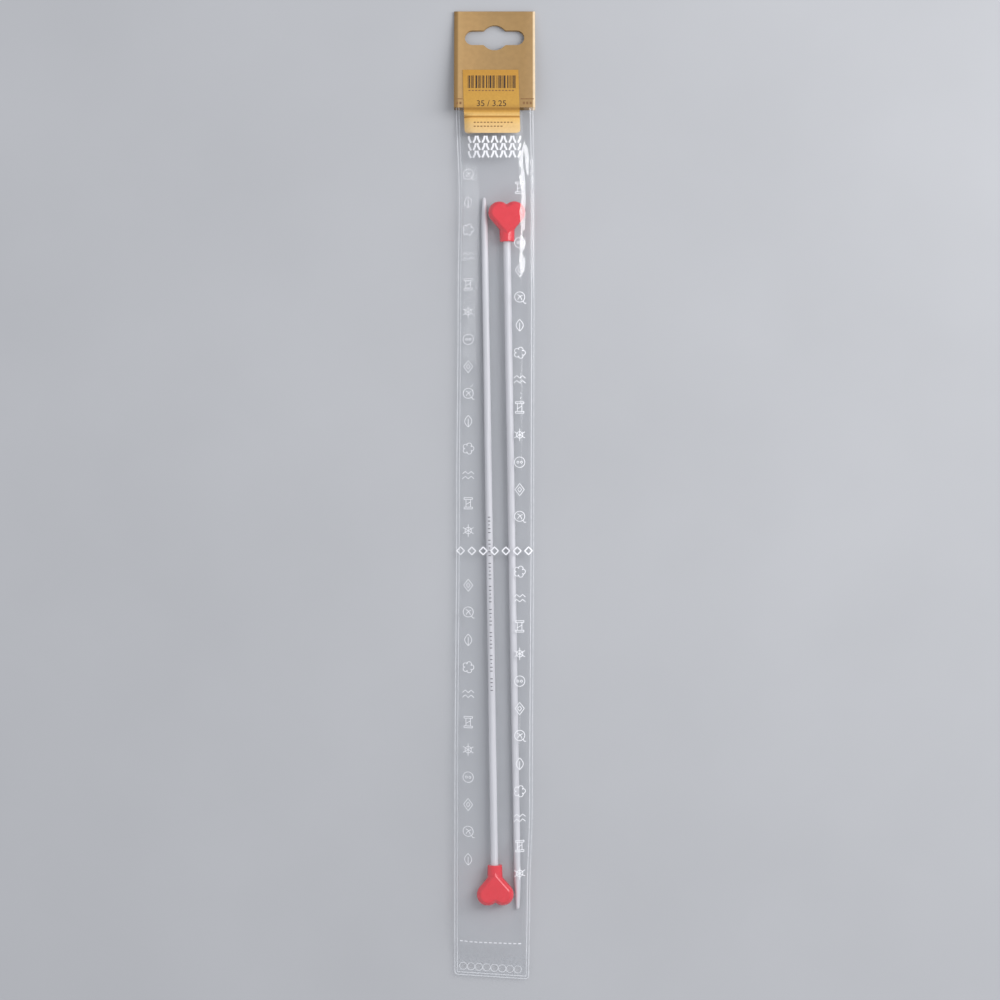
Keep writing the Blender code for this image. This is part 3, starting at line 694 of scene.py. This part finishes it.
# Print on the film: plain craft motifs in thin white lines, drawn in a square from -1 to 1
def yarn_ball():
    return [
        arc(0, 0.1, 0.78, 0, 360, 32),
        arc(-0.8, -0.6, 1.15, 12, 68),
        arc(0.75, -0.75, 1.15, 105, 158),
        [(0.5, -0.5), (0.75, -0.85), (1.0, -0.8)],
    ]


def button():
    holes = [arc(x, 0, 0.16, 0, 360, 12) for x in (-0.27, 0.27)]
    return [arc(0, 0, 0.8, 0, 360, 32)] + holes


def spool():
    lines = [[(-0.35, -0.6), (-0.35, 0.6)], [(0.35, -0.6), (0.35, 0.6)], [(-0.35, -0.2), (0.35, 0.2)]]
    for y in (-0.6, 0.6):
        lines.append([(-0.65, y), (0.65, y)])
        lines.append([(-0.65, y * 1.45), (0.65, y * 1.45)])
        lines += [[(x, y), (x, y * 1.45)] for x in (-0.65, 0.65)]
    return lines


def snowflake():
    lines = [[(0.55 * x, 0.55 * y) for x, y in arc(0, 0, 1, 30, 390, 6)]]
    for angle in (30, 90, 150):
        x, y = math.cos(math.radians(angle)), math.sin(math.radians(angle))
        lines.append([(-0.95 * x, -0.95 * y), (0.95 * x, 0.95 * y)])
    return lines


def leaf():
    outline = [(0.55 * math.sin(math.pi * share), -0.9 + 1.8 * share) for share in spread(0, 1, 16)]
    return [outline, [(-x, y) for x, y in outline], [(0, -0.9), (0, 0.4)]]


def argyle():
    return [[(0, -size), (size * 0.75, 0), (0, size), (-size * 0.75, 0), (0, -size)] for size in (0.95, 0.4)]


def zigzags():
    lines = []
    for y in (-0.45, 0.3):
        lines.append([(x, y + (0.4 if index % 2 else 0)) for index, x in enumerate(spread(-0.9, 0.9, 4))])
    return lines


def flower():
    petals = []
    for angle in spread(0, 288, 4):
        x, y = math.cos(math.radians(angle)), math.sin(math.radians(angle))
        petals.append(arc(0.5 * x, 0.5 * y, 0.38, angle - 110, angle + 110, 14))
    return petals


MOTIFS = (yarn_ball, zigzags, button, leaf, spool, argyle, flower, snowflake)


def resample(points, step):
    """The same line with points at most step apart."""
    out = [points[0]]
    for (x0, y0), (x1, y1) in zip(points, points[1:]):
        steps = max(1, math.ceil(math.hypot(x1 - x0, y1 - y0) / step))
        out += [(x0 + (x1 - x0) * i / steps, y0 + (y1 - y0) * i / steps) for i in range(1, steps + 1)]
    return out


def add_stroke(bm, points, width, height, lift):
    """A flat ribbon along a line, laid on a surface. A line that leaves the surface is left out."""
    points = resample(points, PRINT_STEP)
    closed = math.dist(points[0], points[-1]) < CLOSED_LINE_GAP
    pairs = []
    for index, (x, y) in enumerate(points):
        before = points[index - 1] if index else (points[-2] if closed else points[0])
        after = points[index + 1] if index + 1 < len(points) else (points[1] if closed else points[-1])
        run = Vector((after[0] - before[0], after[1] - before[1]))
        across = Vector((-run.y, run.x)).normalized() * width / 2
        pair = []
        for side in (1, -1):
            side_x, side_y = x + across.x * side, y + across.y * side
            z = height(side_x, side_y)
            if z is None:
                return
            pair.append((side_x, side_y, z + lift))
        pairs.append(pair)
    if closed:
        pairs.pop()
    made = [[bm.verts.new(corner) for corner in pair] for pair in pairs]
    following = made[1:] + made[:1] if closed else made[1:]
    for (left, right), (next_left, next_right) in zip(made, following):
        bm.faces.new((left, right, next_right, next_left))


def make_film_print(height, foot):
    """Two staggered columns of motifs, a band of knit stitches, a row of diamonds and a line of dashes."""
    bm = bmesh.new()
    rows = math.floor((MOTIF_TOP - MOTIF_FOOT) / MOTIF_PITCH)
    heart_low, heart_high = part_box("right_heart_stop")
    for column, (centre_x, lag) in enumerate(((MOTIF_LEFT_X, 0), (MOTIF_RIGHT_X, MOTIF_PITCH / 2))):
        for row in range(rows):
            y = MOTIF_TOP - lag - row * MOTIF_PITCH
            if abs(y - DIAMOND_BAND_Y) < MOTIF_HALF_SIZE + 2 * DIAMOND_HALF_SIZE:
                continue
            if heart_low.x < centre_x < heart_high.x and heart_low.y < y < heart_high.y:
                continue
            motif = MOTIFS[(row * MOTIF_ROW_STEP + column * MOTIF_COLUMN_STEP) % len(MOTIFS)]
            for layer, line in enumerate(motif()):
                placed = [(centre_x + MOTIF_HALF_SIZE * px, y + MOTIF_HALF_SIZE * py) for px, py in line]
                add_stroke(bm, placed, PRINT_LINE_WIDTH, height, PRINT_LIFT + layer * PRINT_LAYER)
    for row in range(STITCH_ROWS):
        for column in range(STITCH_COLUMNS):
            x = (column - (STITCH_COLUMNS - 1) / 2) * STITCH_WIDTH
            y = STITCH_BAND_TOP - row * STITCH_HEIGHT * STITCH_ROW_SHARE
            for side in (-1, 1):
                line = []
                for out, down in STITCH_LEG:
                    line.append((x + side * STITCH_WIDTH * out, y - STITCH_HEIGHT * down))
                add_stroke(bm, line, STITCH_LINE_WIDTH, height, PRINT_LIFT)
    for index in range(DIAMOND_COUNT):
        x = (index - (DIAMOND_COUNT - 1) / 2) * DIAMOND_PITCH
        size = DIAMOND_HALF_SIZE
        y = DIAMOND_BAND_Y
        line = [(x, y - size), (x + size, y), (x, y + size), (x - size, y), (x, y - size)]
        add_stroke(bm, line, DIAMOND_LINE_WIDTH, height, PRINT_LIFT)
    for index in range(DASH_COUNT):
        x = HOLE_ROW_X + (index - (DASH_COUNT - 1) / 2) * DASH_PITCH
        y = foot + DASH_ROW_HEIGHT
        line = []
        for end_x in (x - DASH_LENGTH / 2, x + DASH_LENGTH / 2):
            line.append((end_x, y + foot_shift(end_x, y, foot)))
        add_stroke(bm, line, DASH_LINE_WIDTH, height, PRINT_LIFT)
    piece = new_piece("film_print", bm, white_print, "pack")
    add_thickness(piece, PRINT_THICKNESS, 1)


# Needles
def make_shaft(side):
    """A turned shaft on the axis and the profile of its CAD solid, with a smoother taper."""
    node = f"{side}_needle_shaft"
    points = [vert.co.copy() for vert in frame["nodes"][node].data.vertices]
    low, high = min(points, key=lambda p: p.y), max(points, key=lambda p: p.y)
    tip, base_y = (high, low.y) if side == "left" else (low, high.y)
    end_ring = [p for p in points if abs(p.y - base_y) < SHAFT_END_REACH]
    base = sum(end_ring, Vector()) / len(end_ring)
    axis = (tip - base).normalized()
    stations = {}
    for point in points:
        along = (point - base).dot(axis)
        radius = (point - base - axis * along).length
        key = round(along / SHAFT_STATION_LENGTH)
        stations[key] = max(stations.get(key, (along, 0)), (along, radius), key=lambda s: s[1])
    profile = sorted(stations.values())
    across = axis.cross(Vector((0, 0, 1))).normalized()
    up = across.cross(axis)
    bm = bmesh.new()
    rings = []
    for (start, start_radius), (end, end_radius) in zip(profile, profile[1:]):
        for share in spread(0, 1, SHAFT_STEPS_PER_STATION)[:-1]:
            rings.append((start + (end - start) * share, start_radius + (end_radius - start_radius) * share))
    rings.append(profile[-1])
    made = []
    for along, radius in rings:
        ring = []
        for angle in spread(0, 2 * math.pi, SHAFT_SIDES)[:-1]:
            offset = across * math.cos(angle) + up * math.sin(angle)
            ring.append(bm.verts.new(base + axis * along + offset * max(radius, SHAFT_LEAST_RADIUS)))
        made.append(ring)
    for near, far in zip(made, made[1:]):
        for index in range(SHAFT_SIDES):
            after = (index + 1) % SHAFT_SIDES
            bm.faces.new((near[index], near[after], far[after], far[index]))
    bm.faces.new(made[0])
    bm.faces.new(made[-1])
    bmesh.ops.recalc_face_normals(bm, faces=bm.faces)
    piece = new_piece(f"{side}_shaft", bm, grey_coating, f"{side}_needle")
    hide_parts(node)
    return surface_of(piece), base, axis


def make_shaft_marks(height, base, axis):
    """A row of plain marks along the top of the left shaft, in groups."""
    bm = bmesh.new()
    across = Vector((axis.y, -axis.x, 0))
    count = round((SHAFT_MARK_START - SHAFT_MARK_END) / SHAFT_MARK_PITCH)
    for index in range(count):
        if index % SHAFT_MARK_GROUP == 0:
            continue
        y = SHAFT_MARK_START - index * SHAFT_MARK_PITCH
        middle = base + axis * ((y - base.y) / axis.y)
        half_length = SHAFT_MARK_LENGTH / 2
        if index % SHAFT_SHORT_MARK_EVERY == 0:
            half_length *= SHAFT_SHORT_MARK_SHARE
        line = [middle + across * offset for offset in spread(-half_length, half_length, SHAFT_MARK_STEPS)]
        add_stroke(bm, [(point.x, point.y) for point in line], SHAFT_MARK_WIDTH, height, INK_LIFT)
    piece = new_piece("shaft_marks", bm, grey_ink, "left_needle")
    add_thickness(piece, INK_THICKNESS, 1)


def make_heart(side):
    """The heart stop with the soft edges of a moulding, from its CAD solid."""
    node = f"{side}_heart_stop"
    bm = bmesh.new()
    bm.from_mesh(frame["nodes"][node].data)
    bmesh.ops.remove_doubles(bm, verts=bm.verts, dist=MERGE_DISTANCE)
    piece = new_piece(f"{side}_heart", bm, red_plastic, f"{side}_needle")
    remesh = piece.modifiers.new("Even", "REMESH")
    remesh.mode = "VOXEL"
    remesh.voxel_size = HEART_VOXEL
    soften = piece.modifiers.new("Soften", "SMOOTH")
    soften.factor = HEART_SMOOTH_FACTOR
    soften.iterations = HEART_SMOOTHING
    apply_modifiers(piece)
    piece.data.shade_smooth()
    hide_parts(node)


# Header card and sticker
def make_card(node, name, body, shape):
    """A part of the card from its CAD solid, with edges slightly rounded by the cut."""
    bm = bmesh.new()
    bm.from_mesh(frame["nodes"][node].data)
    bmesh.ops.remove_doubles(bm, verts=bm.verts, dist=MERGE_DISTANCE)
    bmesh.ops.dissolve_limit(bm, angle_limit=CARD_FLAT_ANGLE, verts=bm.verts, edges=bm.edges)
    shape(bm)
    piece = new_piece(name, bm, gold_card, body, smooth_angle=30)
    bevel = piece.modifiers.new("Cut edges", "BEVEL")
    bevel.width = CARD_EDGE_RADIUS
    bevel.segments = CARD_EDGE_SEGMENTS
    bevel.limit_method = "ANGLE"
    bevel.angle_limit = CARD_EDGE_ANGLE
    apply_modifiers(piece)
    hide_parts(node)
    return piece


def make_card_print(flap):
    """A plain line and a row of dashes along the flap's foot, on both sides of the sticker."""
    height = surface_of(flap)
    bm = bmesh.new()
    left_side = (card_low.x + CARD_PRINT_MARGIN, sticker_low.x - CARD_PRINT_MARGIN)
    right_side = (sticker_high.x + CARD_PRINT_MARGIN, card_high.x - CARD_PRINT_MARGIN)
    for start, end in (left_side, right_side):
        y = card_low.y + CARD_LINE_RISE
        add_stroke(bm, [(start, y), (end, y)], CARD_LINE_WIDTH, height, INK_LIFT)
        y = card_low.y + CARD_DASH_RISE
        count = math.floor((end - start) / CARD_DASH_PITCH)
        for index in range(count):
            x = (start + end) / 2 + (index - (count - 1) / 2) * CARD_DASH_PITCH
            line = [(x - CARD_DASH_LENGTH / 2, y), (x + CARD_DASH_LENGTH / 2, y)]
            add_stroke(bm, line, CARD_DASH_WIDTH, height, INK_LIFT)
    piece = new_piece("card_print", bm, brown_ink, "header_flap")
    add_thickness(piece, INK_THICKNESS, 1)


def fold_axis():
    """The y and z of the card's fold, from the flap's joint."""
    for joint in frame["record"]["behaviour"]["joints"]:
        if joint["name"] == "flap_hinge":
            return joint["pos_m"][1], joint["pos_m"][2]


def shrink_fold(bm):
    """Draws in the round fold on the back half, so that the front half's lip can lie over it."""
    fold_y, fold_z = fold_axis()
    for vert in bm.verts:
        out_y, out_z = vert.co.y - fold_y, vert.co.z - fold_z
        if out_y > 0 or out_z > 0:
            vert.co.y = fold_y + out_y * BEAD_SCALE
            vert.co.z = fold_z + out_z * BEAD_SCALE


def add_fold_lip(bm):
    """Carries the front half over the fold: a ramp up from its face, then a round lip about the fold."""
    fold_y, fold_z = fold_axis()
    foot = min(vert.co.y for vert in bm.verts)
    foot_heights = [vert.co.z for vert in bm.verts if vert.co.y < foot + 2 * FLAP_HALF_THICKNESS]
    middle_z = (min(foot_heights) + max(foot_heights)) / 2
    slope = math.atan2(middle_z - fold_z, fold_y - foot)
    half_width = max(vert.co.x for vert in bm.verts)

    def on_flap(along, out):
        """A point in the plane across the fold, from its distance down the flap and out of it."""
        y = fold_y - along * math.cos(slope) + out * math.sin(slope)
        return (y, fold_z + along * math.sin(slope) + out * math.cos(slope))

    start = on_flap(CARD_LIP_START, FLAP_HALF_THICKNESS)
    reach = math.hypot(start[0] - fold_y, start[1] - fold_z)
    start_angle = math.atan2(start[1] - fold_z, start[0] - fold_y)
    meets = math.degrees(start_angle - math.acos(CARD_FOLD_RADIUS / reach))
    ends = math.degrees(CARD_LIP_END)
    inner_radius = CARD_FOLD_RADIUS - CARD_LIP_THICKNESS
    section = [start]
    section += arc(fold_y, fold_z, CARD_FOLD_RADIUS, meets, ends, CARD_LIP_STEPS)
    section += arc(fold_y, fold_z, inner_radius, ends, meets, CARD_LIP_STEPS)
    section.append(on_flap(FLAP_TOP_GAP, FLAP_HALF_THICKNESS))
    rings = [[bm.verts.new((x, y, z)) for y, z in section] for x in (-half_width, half_width)]
    faces = [bm.faces.new(rings[0]), bm.faces.new(rings[1])]
    for index in range(len(section)):
        after = (index + 1) % len(section)
        faces.append(bm.faces.new((rings[0][index], rings[0][after], rings[1][after], rings[1][index])))
    bmesh.ops.recalc_face_normals(bm, faces=faces)


def make_sticker(film_height):
    """The sticker as a sheet that follows the flap and then settles on to the film, with ink on it."""
    node = "size_sticker"
    cad_height = surface_of(frame["nodes"][node])
    low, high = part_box(node)
    middle_x = (low.x + high.x) / 2
    half_width = (high.x - low.x) / 2
    film_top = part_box("header_back_panel")[0].y
    edge_margin = 0.05 * MM
    columns = spread(-half_width, half_width, round(2 * half_width / STICKER_STEP))
    corner = spread(low.y, low.y + STICKER_FOOT_RADIUS, STICKER_CORNER_STEPS)
    rows = corner[:-1] + spread(corner[-1], high.y, round((high.y - corner[-1]) / STICKER_STEP))
    crease_y = low.y + STICKER_CREASE_SHARE * (high.y - low.y)
    crease_reach = 2 * STICKER_CREASE_WIDTH
    rows = [y for y in rows if abs(y - crease_y) > crease_reach + edge_margin]
    rows += spread(crease_y - crease_reach, crease_y + crease_reach, STICKER_CREASE_STEPS)
    rows.sort()

    def leaning_x(x, y):
        """The sticker is stuck on a little askew, to the right at its foot."""
        return middle_x + x + STICKER_LEAN * (low.y + high.y - 2 * y) / (high.y - low.y)

    def sticker_z(x, y):
        inside_y = min(max(y, low.y + edge_margin), high.y - edge_margin)
        on_card = cad_height(middle_x, inside_y)
        settled = film_height(x, y)
        if y > film_top - STICKER_SETTLE_DROP or settled is None:
            return on_card
        return min(on_card, settled + STICKER_THICKNESS + STICKER_LIFT)

    def crease_rise(y):
        """The crease across the sticker where it comes down on to the film."""
        return STICKER_CREASE_HEIGHT * math.exp(-(((y - crease_y) / STICKER_CREASE_WIDTH) ** 2))

    heights = [[sticker_z(leaning_x(x, y), y) + crease_rise(y) for x in columns] for y in rows]

    def place(column, row):
        x, y = columns[column], rows[row]
        width = half_width
        rise = corner[-1] - y
        if rise > 0:
            width -= STICKER_FOOT_RADIUS - math.sqrt(max(STICKER_FOOT_RADIUS**2 - rise**2, 0))
        return (leaning_x(x * width / half_width, y), y, heights[row][column])

    bm = grid_bmesh(len(columns), len(rows), place)
    height = surface_of(bm)
    sticker = new_piece("sticker", bm, gold_paper, "header_flap", smooth_angle=50)
    add_thickness(sticker, STICKER_THICKNESS, -1)
    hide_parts(node)
    make_bars(height, middle_x - half_width, high.y)
    make_fine_rows(height, middle_x - half_width, high.y)
    make_number("35 / 3.25", middle_x, high.y - NUMBER_DROP, NUMBER_HEIGHT, height)


def make_bars(height, left, top):
    """A block of plain upright bars, with widths and gaps of one to three units that carry no code."""
    bm = bmesh.new()
    x = left + BAR_SIDE_MARGIN
    for index in range(BAR_COUNT):
        width = BAR_UNIT * (1 + (index * 5 % 7) // 3)
        line = [(x + width / 2, top - BAR_TOP_MARGIN), (x + width / 2, top - BAR_TOP_MARGIN - BAR_HEIGHT)]
        add_stroke(bm, line, width, height, INK_LIFT)
        x += width + BAR_UNIT * (1 + (index * 3 % 5) // 2)
    piece = new_piece("sticker_bars", bm, dark_ink, "header_flap")
    add_thickness(piece, INK_THICKNESS, 1)


def make_fine_rows(height, left, top):
    """Rows of small dashes under the bars and at the sticker's foot, in place of fine print."""
    bm = bmesh.new()
    for drop, start, count in FINE_ROWS:
        for index in range(count):
            x = left + start + index * FINE_DASH_PITCH
            line = [(x, top - drop), (x + FINE_DASH_LENGTH, top - drop)]
            add_stroke(bm, line, FINE_DASH_WIDTH, height, INK_LIFT)
    piece = new_piece("sticker_dashes", bm, brown_ink, "header_flap")
    add_thickness(piece, INK_THICKNESS, 1)


def make_number(text, x, y, size, height):
    """Plain figures laid on the sticker."""
    curve = bpy.data.curves.new("figures", "FONT")
    curve.body = text
    curve.size = size
    curve.align_x = "CENTER"
    drawn = bpy.data.objects.new("figures", curve)
    bpy.context.scene.collection.objects.link(drawn)
    graph = bpy.context.evaluated_depsgraph_get()
    mesh = bpy.data.meshes.new_from_object(drawn.evaluated_get(graph))
    bpy.data.objects.remove(drawn)
    bm = bmesh.new()
    bm.from_mesh(mesh)
    bmesh.ops.remove_doubles(bm, verts=bm.verts, dist=NUMBER_MERGE_DISTANCE)
    for vert in bm.verts:
        z = height(x + vert.co.x, y + vert.co.y)
        vert.co = (x + vert.co.x, y + vert.co.y, z + INK_LIFT)
    piece = new_piece("sticker_figures", bm, dark_ink, "header_flap")
    add_thickness(piece, INK_THICKNESS, 1)


# Stage
def add_area_light(name, place, target, size, watts):
    light = bpy.data.lights.new(name, "AREA")
    light.shape = "RECTANGLE"
    light.size, light.size_y = size
    light.energy = watts
    lamp = bpy.data.objects.new(name, light)
    lamp.location = place
    lamp.rotation_euler = (Vector(target) - Vector(place)).to_track_quat("-Z", "Y").to_euler()
    bpy.context.scene.collection.objects.link(lamp)


def make_stage():
    """The pale floor, the light all round, the two lamps and the camera."""
    bm = bmesh.new()
    bmesh.ops.create_grid(bm, x_segments=1, y_segments=1, size=FLOOR_HALF_WIDTH)
    bmesh.ops.translate(bm, verts=bm.verts, vec=(0, 0, -FLOOR_DROP))
    mesh = bpy.data.meshes.new("floor")
    bm.to_mesh(mesh)
    bm.free()
    mesh.materials.append(pale_floor)
    floor = bpy.data.objects.new("floor", mesh)
    bpy.context.scene.collection.objects.link(floor)

    world = bpy.data.worlds.new("studio")
    world.use_nodes = True
    background = world.node_tree.nodes["Background"]
    background.inputs["Color"].default_value = WORLD_COLOUR
    background.inputs["Strength"].default_value = WORLD_STRENGTH
    bpy.context.scene.world = world
    add_area_light("key", KEY_PLACE, KEY_TARGET, KEY_SIZE, KEY_WATTS)
    add_area_light("glare", GLARE_PLACE, GLARE_TARGET, GLARE_SIZE, GLARE_WATTS)

    camera = bpy.data.cameras.new("camera")
    camera.sensor_width = SENSOR_WIDTH
    camera.lens = SENSOR_WIDTH * (CAMERA_HEIGHT - FRAME_PLANE_HEIGHT) / FRAME_WIDTH
    camera.clip_start = CAMERA_NEAR
    viewer = bpy.data.objects.new("camera", camera)
    viewer.location = (*FRAME_CENTRE, CAMERA_HEIGHT)
    bpy.context.scene.collection.objects.link(viewer)
    bpy.context.scene.camera = viewer
    bpy.context.scene.view_settings.view_transform = "Standard"


grey_coating = textured_material(
    "grey_coating",
    srgb(202, 201, 205),
    srgb(218, 217, 221),
    scale=900,
    roughness=(0.3, 0.44),
    bump_height=0.01 * MM,
    stretch=(1, 0.03, 1),
)
red_plastic = textured_material(
    "red_plastic",
    srgb(224, 24, 44),
    srgb(232, 32, 52),
    scale=700,
    roughness=(0.2, 0.3),
    bump_height=0.004 * MM,
    coat=0.3,
)
card_low, card_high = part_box("header_front_flap")
# Colour across the card, left to right: a painted shade along the left edge, a lighter band inside it, a
# slow darkening towards the right, and a painted highlight where the right edge catches the light.
gold_card = graded_material(
    "gold_card",
    axis="X",
    start=card_low.x,
    end=card_high.x,
    stops=[
        (0.0, srgb(130, 100, 58)),
        (0.035, srgb(142, 111, 67)),
        (0.06, srgb(188, 152, 102)),
        (0.15, srgb(182, 146, 97)),
        (0.5, srgb(169, 136, 90)),
        (0.85, srgb(165, 132, 86)),
        (0.965, srgb(170, 137, 92)),
        (0.985, srgb(246, 220, 182)),
    ],
    grain_scale=420,
    roughness=(0.52, 0.62),
    metallic=0.1,
)
sticker_low, sticker_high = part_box("size_sticker")
# Colour down the sticker, from its foot: a painted highlight over the part lying on the film, then a dark
# crease line of painted shade between painted highlights over the ridge where it lands on the film, then a
# painted shade where it turns down from the flap's edge, and the plain gold on the flap.
gold_paper = graded_material(
    "gold_paper",
    axis="Y",
    start=sticker_low.y,
    end=sticker_high.y,
    stops=[
        (0.0, srgb(232, 197, 142)),
        (0.12, srgb(230, 192, 130)),
        (0.226, srgb(232, 188, 112)),
        (0.243, srgb(220, 168, 90)),
        (0.258, srgb(160, 110, 44)),
        (0.275, srgb(208, 164, 92)),
        (0.292, srgb(240, 198, 124)),
        (0.312, srgb(236, 190, 110)),
        (0.338, srgb(208, 157, 76)),
        (0.365, srgb(176, 129, 58)),
        (0.385, srgb(164, 119, 52)),
        (0.405, srgb(188, 142, 66)),
        (0.47, srgb(199, 152, 70)),
        (1.0, srgb(192, 141, 60)),
    ],
    grain_scale=900,
    roughness=(0.55, 0.68),
    metallic=0,
)
white_print = ink_material("white_print", srgb(232, 232, 236), srgb(246, 246, 248), roughness=(0.4, 0.6))
dark_ink = ink_material("dark_ink", srgb(38, 24, 16), srgb(66, 44, 28))
brown_ink = ink_material("brown_ink", srgb(118, 82, 44), srgb(146, 106, 60))
grey_ink = ink_material("grey_ink", srgb(92, 91, 96), srgb(124, 123, 128))
pale_floor = textured_material(
    "pale_floor",
    srgb(178, 179, 182),
    srgb(183, 184, 187),
    scale=9,
    roughness=(0.7, 0.85),
    bump_height=0.05 * MM,
)
front_clear = film_material("clear_front_film", FRONT_FILM_GLOSS)
back_clear = film_material("clear_back_film", BACK_FILM_GLOSS)
weld_seam = seam_material()

left_height, left_base, left_axis = make_shaft("left")
make_shaft_marks(left_height, left_base, left_axis)
make_shaft("right")
make_heart("left")
make_heart("right")
make_film("pouch_back_film", "back_film", back_clear, BACK_FILM_SEED, sag_depth=0)
front_height, pouch_foot = make_film(
    "pouch_front_film", "front_film", front_clear, FRONT_FILM_SEED, sag_depth=SAG_DEPTH
)
make_weld_lines(front_height, pouch_foot)
make_film_print(front_height, pouch_foot)
make_card("header_back_panel", "card_back", "pack", shrink_fold)
flap_piece = make_card("header_front_flap", "card_flap", "header_flap", add_fold_lip)
make_card_print(flap_piece)
make_sticker(front_height)
make_stage()
